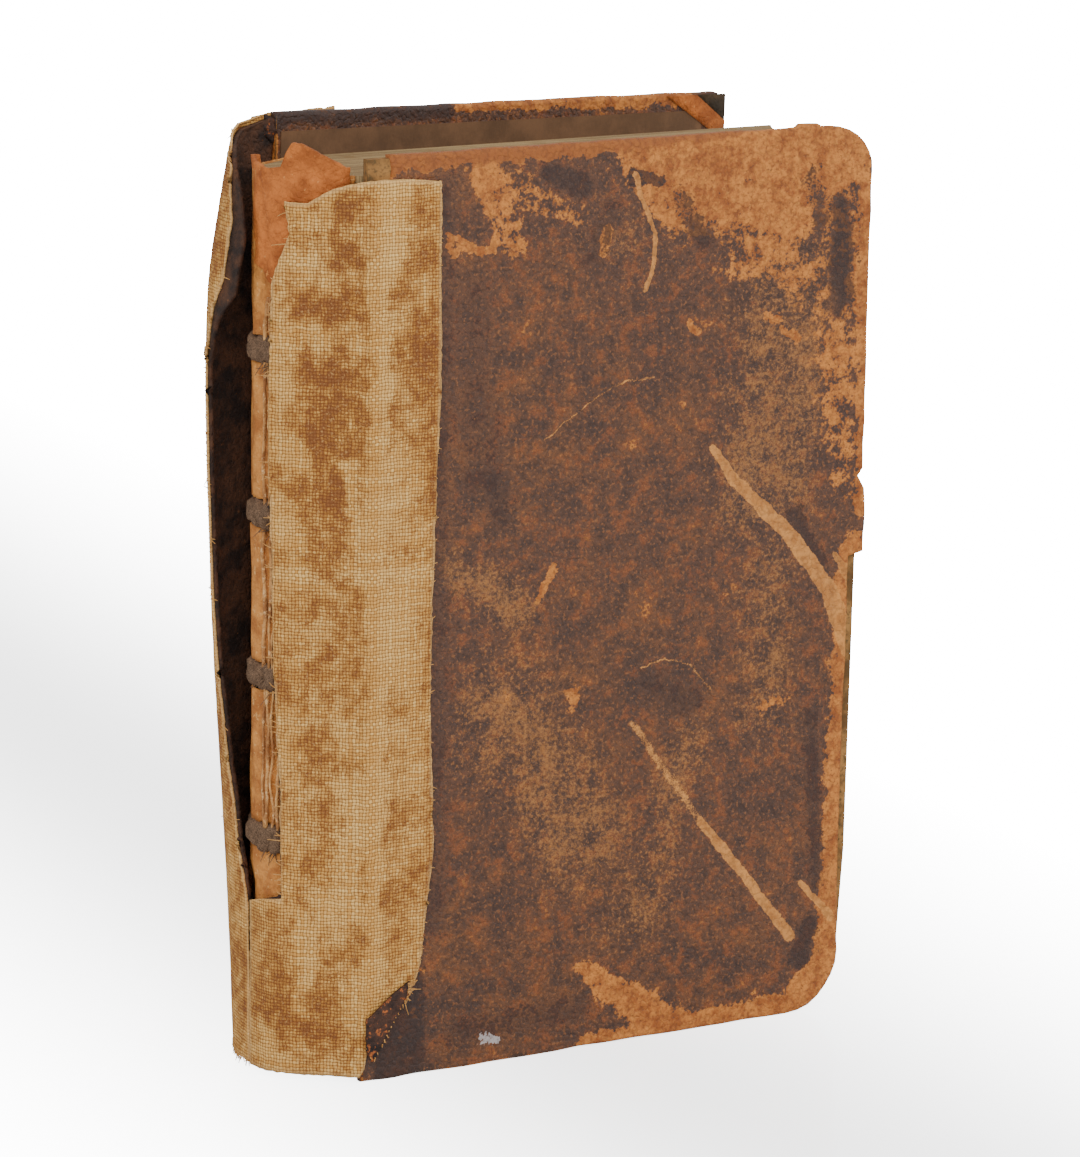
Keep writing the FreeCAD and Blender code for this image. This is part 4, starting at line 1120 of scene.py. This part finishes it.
@dataclass
class Cover:
    """One cover's leather, wrapped round its board, built with its outer face at depth 0."""

    name: str
    body: str
    inward: int
    outline: tuple[tuple[float, float], ...]
    rounded: dict[int, float]
    finish: Finish
    node: str
    place: Matrix
    size: tuple[float, float]
    depth: float = 2.8
    turn_in: float = 12.0
    edge_round: float = 0.95
    leather: float = 0.5

    def build(self) -> bpy.types.Object:
        """Makes the wrapped leather and sets it on its body."""
        bm = bmesh.new()
        corners = [bm.verts.new((x, 0, z)) for x, z in self.outline]
        bm.faces.new(corners)
        for index, radius in self.rounded.items():
            bmesh.ops.bevel(bm, geom=[corners[index]], offset=radius, segments=7, profile=0.5,
                            affect="VERTICES", material=-1)
        for edge in list(bm.edges):
            if edge.calc_length() > 4:
                bmesh.ops.subdivide_edges(bm, edges=[edge], cuts=int(edge.calc_length() / 2.6))
        for vertex in bm.verts:
            shake = noise.noise_vector(Vector((vertex.co.x * 0.16, 3.3, vertex.co.z * 0.16)))
            vertex.co += Vector((shake.x, 0, shake.z)) * 0.28
        rim = bm.edges[:]
        sides = bmesh.ops.extrude_edge_only(bm, edges=rim)["geom"]
        bmesh.ops.translate(bm, verts=[item for item in sides if isinstance(item, bmesh.types.BMVert)],
                            vec=(0, self.depth * self.inward, 0))
        rim = [edge for edge in bm.edges if edge.is_boundary]
        lips = bmesh.ops.extrude_edge_only(bm, edges=rim)["geom"]
        fresh = [item for item in lips if isinstance(item, bmesh.types.BMVert)]
        for vertex in fresh:
            vertex.co.x = max(self.turn_in, min(self.size[0] - self.turn_in, vertex.co.x))
            vertex.co.z = max(self.turn_in, min(self.size[1] - self.turn_in, vertex.co.z))
        bmesh.ops.remove_doubles(bm, verts=fresh, dist=0.3)
        bmesh.ops.recalc_face_normals(bm, faces=bm.faces[:])
        if max(bm.faces, key=lambda item: item.calc_area()).normal.y * self.inward > 0:
            bmesh.ops.reverse_faces(bm, faces=bm.faces[:])
        sharp = [edge for edge in bm.edges if len(edge.link_faces) == 2
                 and edge.calc_face_angle() > math.radians(60) and abs(edge.verts[0].co.y - edge.verts[1].co.y) < 0.1]
        bmesh.ops.bevel(bm, geom=sharp, offset=self.edge_round, segments=4, profile=0.5, affect="EDGES",
                        material=-1)
        self.wear_marks(bm)
        bm.transform(Matrix.Scale(MM, 4) @ self.place)
        piece = Maker.piece(self.name, bm, self.finish)
        Maker.thickened(piece, self.leather)
        even = piece.modifiers.new("even_shading", "WEIGHTED_NORMAL")
        even.weight = 90
        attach(piece, self.body)
        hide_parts(self.node)
        return piece

    def wear_marks(self, bm: bmesh.types.BMesh) -> None:
        """Writes where the cover's edge is rubbed, and its flat coordinates."""
        rim = bm.verts.layers.float.new("rim")
        for vertex in bm.verts:
            depth = abs(vertex.co.y)
            vertex[rim] = 1.0 if 0.12 < depth < self.depth - 0.12 else 0.0
        layer = bm.loops.layers.uv.new("flat")
        for item in bm.faces:
            for loop in item.loops:
                loop[layer].uv = (loop.vert.co.x * MM, loop.vert.co.z * MM)


@dataclass
class Covers:
    """Both covers, with their boards and pastedowns."""

    spine: Spine
    width: float = 111.4
    height: float = 180.0

    def front(self) -> Cover:
        """The front cover: worn low fore edge, a chip, a notch and a bared corner at the head."""
        outline = ((-0.15, 0.0), (108.6, 0.0), (107.9, 33.0), (108.5, 93.4), (111.8, 94.2), (112.1, 100.0),
                   (111.8, 107.0), (110.3, 109.5), (111.3, 111.0), (111.4, 180.0), (99.5, 180.0),
                   (98.8, 180.5), (94.6, 180.6), (93.8, 180.0), (4.4, 180.0), (4.9, 177.4), (4.3, 173.6),
                   (2.3, 171.4), (-0.15, 171.2))
        place = Matrix.Translation(-ORIGIN)
        return Cover("front_cover_leather", FRONT, 1, outline, {1: 12.0, 9: 9.5}, Finish.FRONT_LEATHER,
                     "front_leather", place, (self.width, self.height))

    def rear(self) -> Cover:
        """The rear cover, opened a little and sagging on its fore-edge corner."""
        outline = ((-0.15, 0.0), (self.width, 0.0), (self.width, self.height), (-0.15, self.height))
        foot = Vector((*self.spine.rear_joint, self.spine.rear_lift)) - ORIGIN
        place = (Matrix.Translation(foot) @ Matrix.Rotation(math.radians(self.spine.opening), 4, "Z")
                 @ Matrix.Rotation(math.radians(self.spine.sag), 4, "Y"))
        return Cover("rear_cover_leather", REAR, -1, outline, {1: 3.4, 2: 3.4}, Finish.REAR_LEATHER,
                     "rear_leather", place, (self.width, self.height))

    def corner(self) -> None:
        """The leather's mitred corner that shows beyond the rear pastedown at the head."""
        place = self.rear().place
        parts = (("rear_corner_leather", ((103.2, 179.6), (111.0, 179.6), (111.0, 174.0)), 2.8, 3.3, Finish.CORNER),
                 ("rear_corner_edge", ((95.6, 179.6), (103.4, 179.6), (111.0, 174.2), (111.0, 170.0)), 2.8, 3.4,
                  Finish.HEAD_LEATHER))
        for name, outline, low, high, finish in parts:
            bm = bmesh.new()
            face = bm.faces.new([bm.verts.new((x, -low, z)) for x, z in outline])
            solid = bmesh.ops.extrude_face_region(bm, geom=[face])["geom"]
            bmesh.ops.translate(bm, verts=[item for item in solid if isinstance(item, bmesh.types.BMVert)],
                                vec=(0, low - high, 0))
            bmesh.ops.recalc_face_normals(bm, faces=bm.faces[:])
            bmesh.ops.bevel(bm, geom=bm.edges[:], offset=0.12, segments=2, affect="EDGES")
            bm.transform(Matrix.Scale(MM, 4) @ place)
            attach(Maker.piece(name, bm, finish), REAR)

    def build(self) -> None:
        """Makes both covers and dresses the boards, pastedowns and laced cords."""
        self.corner()
        for cover in (self.front(), self.rear()):
            piece = cover.build()
            LOG.info("%s: %d faces", piece.name, len(piece.data.polygons))
        for side in ("front", "rear"):
            for node, finish in (("board", Finish.BOARD), ("pastedown", Finish.ENDPAPER),
                                 ("cord_slips", Finish.CORD)):
                dress(f"{side}_{node}", finish)


def dress(node: str, finish: Finish) -> None:
    """Gives a carried-over node its finish."""
    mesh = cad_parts[node].data
    mesh.materials.clear()
    mesh.materials.append(finish.material())


@dataclass
class Pages:
    """The leaves, the cords that they are sewn on and the strips pasted between the cords."""

    spine: Spine
    first_cord: float = 47.4
    cord_pitch: float = 31.6
    cords: int = 4
    cord_width: float = 5.4
    lining: float = 0.6
    tail: float = 4.0
    head: float = 176.0
    bare_from: float = 19.0

    def cord_height(self, number: int) -> float:
        """The height of a cord's middle."""
        return self.first_cord + self.cord_pitch * number

    def build(self) -> None:
        """Makes the sewing and the linings, and dresses the leaves."""
        dress("text_block", Finish.PAGES)
        for number in range(self.cords):
            self.cord(number)
        for number in range(self.cords + 1):
            self.strip(number)
        self.folds()
        self.fibres()

    def cord(self, number: int) -> bpy.types.Object:
        """One cord, knotted and thick where the spine is bare, flat under the covering."""
        path = self.spine.page_path(0.0)
        total = path.lengths[-1]
        bm = bmesh.new()
        rings = []
        steps = 90
        for step in range(steps + 1):
            length = total * step / steps
            point, outward = path.at(length)
            bare = max(0.0, min(1.0, (point.y - 11.4) / 1.4))
            high = 0.55 + bare * 1.5
            ring = []
            for turn in range(16):
                angle = 2 * math.pi * turn / 16
                twist = math.sin(3 * angle + length * 2.1 + number) * 0.16
                lump = noise.noise(Vector((length * 0.7, angle * 0.9, number * 4.1))) * 0.95 * bare
                out = math.sin(angle) * (high * 0.62 + 0.5) + high * 0.3 - 0.2
                out += (twist + lump) * (0.3 + bare) * max(0.0, math.sin(angle) + 0.3)
                rise = math.cos(angle) * self.cord_width / 2 * (1 + 0.2 * lump + 0.25 * twist)
                place = point + outward * min(out, high + 0.45 * bare)
                ring.append(in_model((*place, self.cord_height(number) + rise)))
            rings.append(ring)
        Maker.tube(bm, rings)
        bmesh.ops.recalc_face_normals(bm, faces=bm.faces[:])
        piece = Maker.piece(f"cord_{number + 1}", bm, Finish.CORD)
        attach(piece, PAGES)
        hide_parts(f"sewing_cord_{number + 1}")
        return piece

    def folds(self) -> bpy.types.Object:
        """Stiff pale folds of pasted paper beside the covering's torn edge, between the cords."""
        path = self.spine.page_path(self.lining)
        chance = random.Random(17)
        bm = bmesh.new()
        for number in range(1, self.cords + 1):
            low = self.cord_height(number - 1) + self.cord_width / 2
            high = self.cord_height(number) - self.cord_width / 2 if number < self.cords else 152.0
            for fold in range(4):
                start = path.where(11.6 + fold * 0.95 + chance.uniform(-0.3, 0.3))
                thick = chance.uniform(0.28, 0.5)
                rings = []
                for step in range(25):
                    height = low - 0.6 + (high - low + 1.2) * step / 24
                    sway = noise.noise(Vector((height * 0.16, fold * 3.1, number * 2.7))) * 0.8
                    point, outward = path.at(start + sway)
                    side = Vector((outward.y, -outward.x))
                    size = thick * (0.75 + 0.5 * noise.noise(Vector((height * 0.5, fold, number))))
                    ring = []
                    for turn in range(7):
                        angle = 2 * math.pi * turn / 7
                        place = point + outward * (0.75 + math.cos(angle) * size * 1.3) + side * math.sin(angle) * size
                        ring.append(in_model((*place, height)))
                    rings.append(ring)
                Maker.tube(bm, rings)
        bmesh.ops.recalc_face_normals(bm, faces=bm.faces[:])
        piece = Maker.piece("paste_folds", bm, Finish.PASTE)
        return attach(piece, PAGES)

    def fibres(self) -> bpy.types.Object:
        """Hemp fibres that come loose from the cords where the spine is bare."""
        path = self.spine.page_path(0.9)
        chance = random.Random(23)
        roots = []
        for number in range(self.cords):
            for _ in range(24):
                point, outward = path.at(path.where(chance.uniform(11.6, 14.6)))
                height = self.cord_height(number) + chance.uniform(-2.6, 1.6)
                aim = Vector((outward.y * 0.5 - 0.2, -outward.x * 0.5, chance.uniform(-1.0, -0.3)))
                roots.append((in_model((*point, height)), aim.normalized()))
        return threads("cord_fibres", roots, PAGES, 4.2, 90, 29, Finish.CORD)

    def strip(self, number: int) -> bpy.types.Object:
        """The lining pasted over the folds between two cords."""
        half = self.cord_width / 2
        low = self.tail if number == 0 else self.cord_height(number - 1) + half
        high = self.head if number == self.cords else self.cord_height(number) - half
        path = self.spine.page_path(self.lining)

        def crease(length: float, height: float) -> float:
            """Small vertical folds, held down where the cloth covers them."""
            fold = noise.noise(Vector((length * 0.8, height * 0.06, number)))
            bare = max(0.0, min(1.0, (length - self.bare_from) / 2.4))
            held = max(0.0, min(1.0, (height - 37.0) / 4))
            return (0.75 + fold * 0.6) * bare * held
        sheet = Sheet(f"lining_{number + 1}", Finish.LINING, lambda _: path,
                      lambda height, line: 1.0, lambda height, line: line.lengths[-1] - 1.0,
                      ((0.0, low), (60.0, low)), ((0.0, high), (60.0, high)), self.lining,
                      cell=0.8, fray=0.3, ripple=0.05, seed=20.0 + number, lift=crease)
        piece = sheet.build()
        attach(piece, PAGES)
        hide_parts(f"spine_lining_{number + 1}")
        return piece


@dataclass
class LooseSpine:
    """The old spine leather and the repair cloth over it, torn open and standing off at the rear."""

    spine: Spine
    split: float = 18.0
    cloth_front: Table = ((34.6, 18.0), (36, 9.8), (57, 10.0), (81, 11.0), (104, 11.3), (130, 11.7), (156, 11.3),
                          (165, 9.0), (171.5, 9.8))
    cloth_rear: Table = ((1.2, 18.3), (20, 18.6), (33, 19.3), (41, 21.0), (60, 25.0), (80, 28.0), (95, 29.5), (138, 29.5),
                         (147, 26.5), (155, 22.5), (166, 22.0), (176, 25.0), (181.5, 31.0), (183.4, 38.0))
    leather_rear: Table = ((1.2, 18.8), (20, 19.1), (33, 19.6), (41.2, 20.8), (60.2, 24.7), (80, 27.6), (95, 29.1), (137, 29.1),
                           (146, 25.0), (152, 19.8), (163, 18.4), (172, 21.0), (178.5, 27.0), (182.4, 37.0))
    leather_front: Table = ((34.2, 17.6), (36.5, 10.4), (57, 10.6), (81, 11.5), (104, 11.8), (130, 12.1), (150, 11.8))
    strip_edge: Table = ((18.4, 10.8), (23, 12.2), (46, 14.8), (74, 13.6), (102, 14.1), (134, 15.3),
                         (174.8, 15.0))

    def torn(self, table: Table) -> Callable[[float, Path], float]:
        """An edge that keeps to a table of heights and places across, and to the split below it."""
        def edge(height: float, path: Path) -> float:
            """The length at which the edge lies at a height."""
            if height < table[0][0] - 1:
                return path.where(self.split)
            return path.where(between(table, height))
        return edge

    def build(self) -> None:
        """Makes the cloth and the leather on both sides of the opening."""
        front = self.front_cloth()
        rear = self.rear_cloth()
        self.old_leather()
        self.head_leather()
        self.folded_flap()
        self.rolled_cap()
        LOG.info("canvas areas: %.5f and %.5f m2", front, rear)

    def folded_flap(self) -> None:
        """The corner of old leather folded up beside the cloth's torn foot."""
        def above(height: float) -> Path:
            """The line just over the front cover."""
            return self.spine.cover_path(height, -0.25)

        def curl(length: float, height: float) -> float:
            """How far the flap stands off: most along its folded edge."""
            return 0.5 + 0.5 * max(0.0, min(1.0, (length + 9) / 9)) * math.sin(max(0.0, min(1.0, height / 18)) * 3.1)
        foot = ((-9.6, 17.0), (-8.7, 15.8), (-4.2, 8.6), (-1.6, 4.4), (-1.0, 5.2), (-0.5, 7.0))
        head = ((-9.6, 19.6), (-6.0, 17.4), (-0.5, 13.2))
        sheet = Sheet("folded_flap", Finish.FOLDED, above, lambda height, _: -9.6, lambda height, _: -0.5, foot, head,
                      0.55, cell=0.5, fray=0.2, ripple=0.1, seed=8.0, lift=curl)
        piece = sheet.build()
        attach(piece, FRONT)
        threads("tuft_threads", sheet.edges["start"] + sheet.edges["foot"][:3], FRONT, 2.4, 26, 13)
        threads("flap_hem_threads", sheet.edges["foot"], FRONT, 0.8, 40, 14)

    def rolled_cap(self) -> None:
        """Leather rolled into a knob at the head of the rear joint."""
        bm = bmesh.new()
        bmesh.ops.create_uvsphere(bm, u_segments=28, v_segments=18, radius=1.0)
        for vertex in bm.verts:
            swell = 1.0 + 0.22 * noise.noise(vertex.co * 1.7) + 0.1 * math.sin(vertex.co.z * 9 + vertex.co.x * 4)
            vertex.co = Vector((vertex.co.x * 2.3, vertex.co.y * 1.7, vertex.co.z * 2.7)) * swell
        bm.transform(Matrix.Scale(MM, 4) @ Matrix.Translation(Vector((-2.6, 37.6, 180.3)) - ORIGIN))
        piece = Maker.piece("rolled_cap", bm, Finish.FOLDED)
        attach(piece, REAR)

    def front_cloth(self) -> float:
        """The cloth from the front cover over its joint to the torn opening."""
        sheet = Sheet("canvas_front", Finish.CANVAS, self.spine.cover_path,
                      lambda height, _: -between(self.strip_edge, height), self.torn(self.cloth_front),
                      ((-10.8, 18.4), (-4.0, 15.0), (-1.6, 12.6), (-0.6, 6.0), (0.3, 1.2), (60, 1.2)),
                      ((-15.2, 174.8), (-7.0, 175.4), (0.0, 175.6), (4.0, 174.8), (8.0, 173.4), (12.0, 171.0)),
                      0.5, fray=0.3, seed=1.0)
        sheet.foot = ((-15.2, 18.4), *sheet.foot)
        piece = sheet.build()
        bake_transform(piece)
        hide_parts("front_cloth")
        frayed = threads("cover_threads", [item for item in sheet.edges["start"]], FRONT, 1.0, 70, 3)
        torn = [item for item in sheet.edges["end"] if item[0].z > 0.037]
        opening = threads("opening_threads", torn, PAGES, 2.2, 90, 5)
        return sheet.area

    def rear_cloth(self) -> float:
        """The cloth round the foot of the spine and the loose flap to the rear cover."""
        def far(height: float, path: Path) -> float:
            """The strip's edge on the rear cover."""
            return path.lengths[-1] - 1.3
        sheet = Sheet("canvas_rear", Finish.CANVAS, self.spine.cover_path, self.torn(self.cloth_rear), far,
                      ((0.0, 1.2), (36.0, 1.4), (44.0, 4.5), (60.0, 6.4)),
                      ((0.0, 183.4), (90.0, 183.4)), 0.5, fray=0.35, seed=2.0)
        piece = sheet.build()
        joint, _, _ = self.spine.rear_joint_at(90)
        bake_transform(piece)
        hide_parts("rear_cloth", "spine_cloth")
        torn = [item for item in sheet.edges["start"] if item[0].z > 0.037]
        flap = threads("flap_threads", torn, PAGES, 1.8, 110, 7)
        fallen = [(place, Vector((-0.35, -0.1, -1)).normalized()) for place, _ in torn
                  if 0.050 < place.z < 0.056]
        threads("stray_threads", fallen, PAGES, 9.0, 3, 4)
        hem = threads("hem_threads", [item for item in sheet.edges["foot"] if item[0].y < 0.029], PAGES,
                      1.4, 60, 9)
        return sheet.area

    def old_leather(self) -> None:
        """The dark leather inside the cloth, on both sides of the opening."""
        def inside(height: float) -> Path:
            """The leather's own line."""
            return self.spine.cover_path(height, 0.55)
        front = Sheet("old_leather_front", Finish.OLD_LEATHER, inside, lambda height, _: 2.4,
                      self.torn(self.leather_front), ((0.0, 1.6), (60.0, 1.6)), ((0.0, 151.0), (60.0, 151.0)),
                      0.8, cell=1.2, fray=0.25, ripple=0.0, seed=3.0)
        piece = front.build()
        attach(piece, PAGES)

        def joint(height: float, path: Path) -> float:
            """The leather's end at the rear joint."""
            return path.lengths[-2] - 0.9
        rear = Sheet("old_leather_rear", Finish.OLD_LEATHER, inside, self.torn(self.leather_rear), joint,
                     ((0.0, 1.6), (60.0, 1.6)), ((0.0, 182.4), (60.0, 182.4)), 0.8, cell=1.0, fray=0.3,
                     ripple=0.12, seed=2.0)
        piece = rear.build()
        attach(piece, PAGES)
        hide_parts("spine_leather")

    def head_leather(self) -> None:
        """What is left of the leather at the head, with a torn tongue that stands over the pages."""
        path = self.spine.page_path(1.45)
        zero = {y: path.where(y) for y in (1.5, 4.5, 6.8, 8.2, 9.4, 10.2, 11.2, 15, 19, 22, 25, 13, 18.4, 21.4)}
        head = ((zero[1.5], 176.8), (zero[4.5], 178.3), (zero[6.8], 180.6), (zero[8.2], 181.9),
                (zero[9.4], 182.2), (zero[10.2], 180.0), (zero[11.2], 177.3), (zero[15], 176.6),
                (zero[19], 177.4), (zero[22], 178.4), (zero[25], 177.6))
        foot = ((zero[1.5], 153.4), (zero[11.2], 153.6), (zero[13], 155.4), (zero[15], 157.6),
                (zero[18.4], 158.3), (zero[21.4], 161.2), (zero[25], 163.0))

        def curl(length: float, height: float) -> float:
            """The edge at the head leans out, and the torn foot curls off the pages."""
            bare = max(0.0, min(1.0, (length - zero[11.2]) / 3))
            return (max(0.0, height - 176.5) * 0.12 + max(0.0, 160 - height) * 0.12 * bare
                    + noise.noise(Vector((length * 0.5, height * 0.12, 4.0))) * 0.5 * bare)
        sheet = Sheet("head_leather_patch", Finish.HEAD_LEATHER, lambda _: path, lambda height, _: 2.0,
                      lambda height, line: line.where(24.6), foot, head, 0.8, cell=0.6, fray=0.35,
                      ripple=0.05, seed=6.0, lift=curl)
        piece = sheet.build()
        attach(piece, PAGES)
        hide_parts("head_leather")


@dataclass(frozen=True)
class Studio:
    """The floor, the light and the camera."""

    camera_at: tuple[float, float, float] = (-0.4988, -0.8468, 0.3232)
    look: tuple[float, float, float] = (0.48144, 0.84649, -0.22730)
    right: tuple[float, float, float] = (0.87089, -0.49124, 0.01516)
    up: tuple[float, float, float] = (0.09883, 0.20526, 0.97370)
    lens: float = 161.8
    glow: tuple[float, float] = (2.6, 24.0)

    def build(self) -> None:
        """Sets everything up."""
        self.camera()
        self.floor()
        world = bpy.data.worlds.new("studio")
        world.use_nodes = True
        graph = Graph(world.node_tree)
        backdrop = world.node_tree.nodes["Background"]
        backdrop.inputs["Color"].default_value = (1.0, 1.0, 1.0, 1.0)
        seen = graph.add("LightPath").outputs["Is Camera Ray"]
        graph.feed(backdrop.inputs["Strength"], graph.math("MULTIPLY_ADD", seen, 17.0, 0.95))
        bpy.context.scene.world = world
        self.lamp("key", (-0.9, -1.3, 1.3), 1.3, 14.0)
        self.lamp("fill", (1.1, -1.1, 0.7), 1.2, 5.0)

    def camera(self) -> None:
        """The photograph's view."""
        data = bpy.data.cameras.new("camera")
        data.lens = self.lens
        data.sensor_width = 36.0
        camera = bpy.data.objects.new("camera", data)
        axes = (Vector(self.right), Vector(self.up), -Vector(self.look))
        matrix = Matrix([axis.normalized() for axis in axes]).transposed().to_4x4()
        matrix.translation = self.camera_at
        camera.matrix_world = matrix
        bpy.context.scene.collection.objects.link(camera)
        bpy.context.scene.camera = camera

    def lamp(self, name: str, place: tuple[float, float, float], size: float, power: float) -> None:
        """A soft square lamp that faces the book."""
        data = bpy.data.lights.new(name, "AREA")
        data.size = size
        data.energy = power
        lamp = bpy.data.objects.new(name, data)
        lamp.location = place
        lamp.rotation_euler = (Vector((0, 0, 0.09)) - Vector(place)).to_track_quat("-Z", "Y").to_euler()
        bpy.context.scene.collection.objects.link(lamp)

    def floor(self) -> None:
        """A pale floor with a faint gloss, and painted light: for camera rays it glows, faintly near x = 0 where the
        book stands and strongly from 0.28 m out.
        """
        material = bpy.data.materials.new("pale_floor")
        material.use_nodes = True
        shader = material.node_tree.nodes["Principled BSDF"]
        shader.inputs["Base Color"].default_value = (0.86, 0.86, 0.86, 1.0)
        shader.inputs["Roughness"].default_value = 0.12
        graph = Graph(material.node_tree)
        seen = graph.add("LightPath").outputs["Is Camera Ray"]
        across = graph.add("SeparateXYZ", {0: graph.add("TexCoord").outputs["Object"]}).outputs[0]
        shader.inputs["Emission Color"].default_value = (1.0, 1.0, 1.0, 1.0)
        # Painted light: the glow rises from its first strength near the book to its second beyond 0.28 m, for the
        # camera alone.
        glow = graph.step(graph.math("ABSOLUTE", across), 0.0, 0.28, self.glow[0], self.glow[1])
        graph.feed(shader.inputs["Emission Strength"], graph.math("MULTIPLY", glow, seen))
        bm = bmesh.new()
        bmesh.ops.create_grid(bm, x_segments=1, y_segments=1, size=6.0)
        mesh = bpy.data.meshes.new("floor")
        bm.to_mesh(mesh)
        bm.free()
        mesh.materials.append(material)
        floor = bpy.data.objects.new("floor", mesh)
        bpy.context.scene.collection.objects.link(floor)
        floor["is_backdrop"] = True


def main() -> None:
    """Builds the book and its studio."""
    logging.basicConfig(level=logging.INFO, format="%(message)s")
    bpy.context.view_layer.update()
    spine = Spine()
    for group in (Covers(spine), Pages(spine), LooseSpine(spine)):
        group.build()
        LOG.info("%s built", type(group).__name__)
    Studio().build()
    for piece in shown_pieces():
        LOG.info("%s: %d faces", piece.name, len(piece.data.polygons))


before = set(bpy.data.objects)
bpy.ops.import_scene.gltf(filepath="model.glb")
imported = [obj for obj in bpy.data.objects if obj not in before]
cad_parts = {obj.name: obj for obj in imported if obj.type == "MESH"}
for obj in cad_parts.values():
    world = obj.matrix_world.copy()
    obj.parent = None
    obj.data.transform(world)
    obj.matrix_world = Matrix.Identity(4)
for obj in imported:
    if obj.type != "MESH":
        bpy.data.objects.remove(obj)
if __name__ == "__main__":
    main()
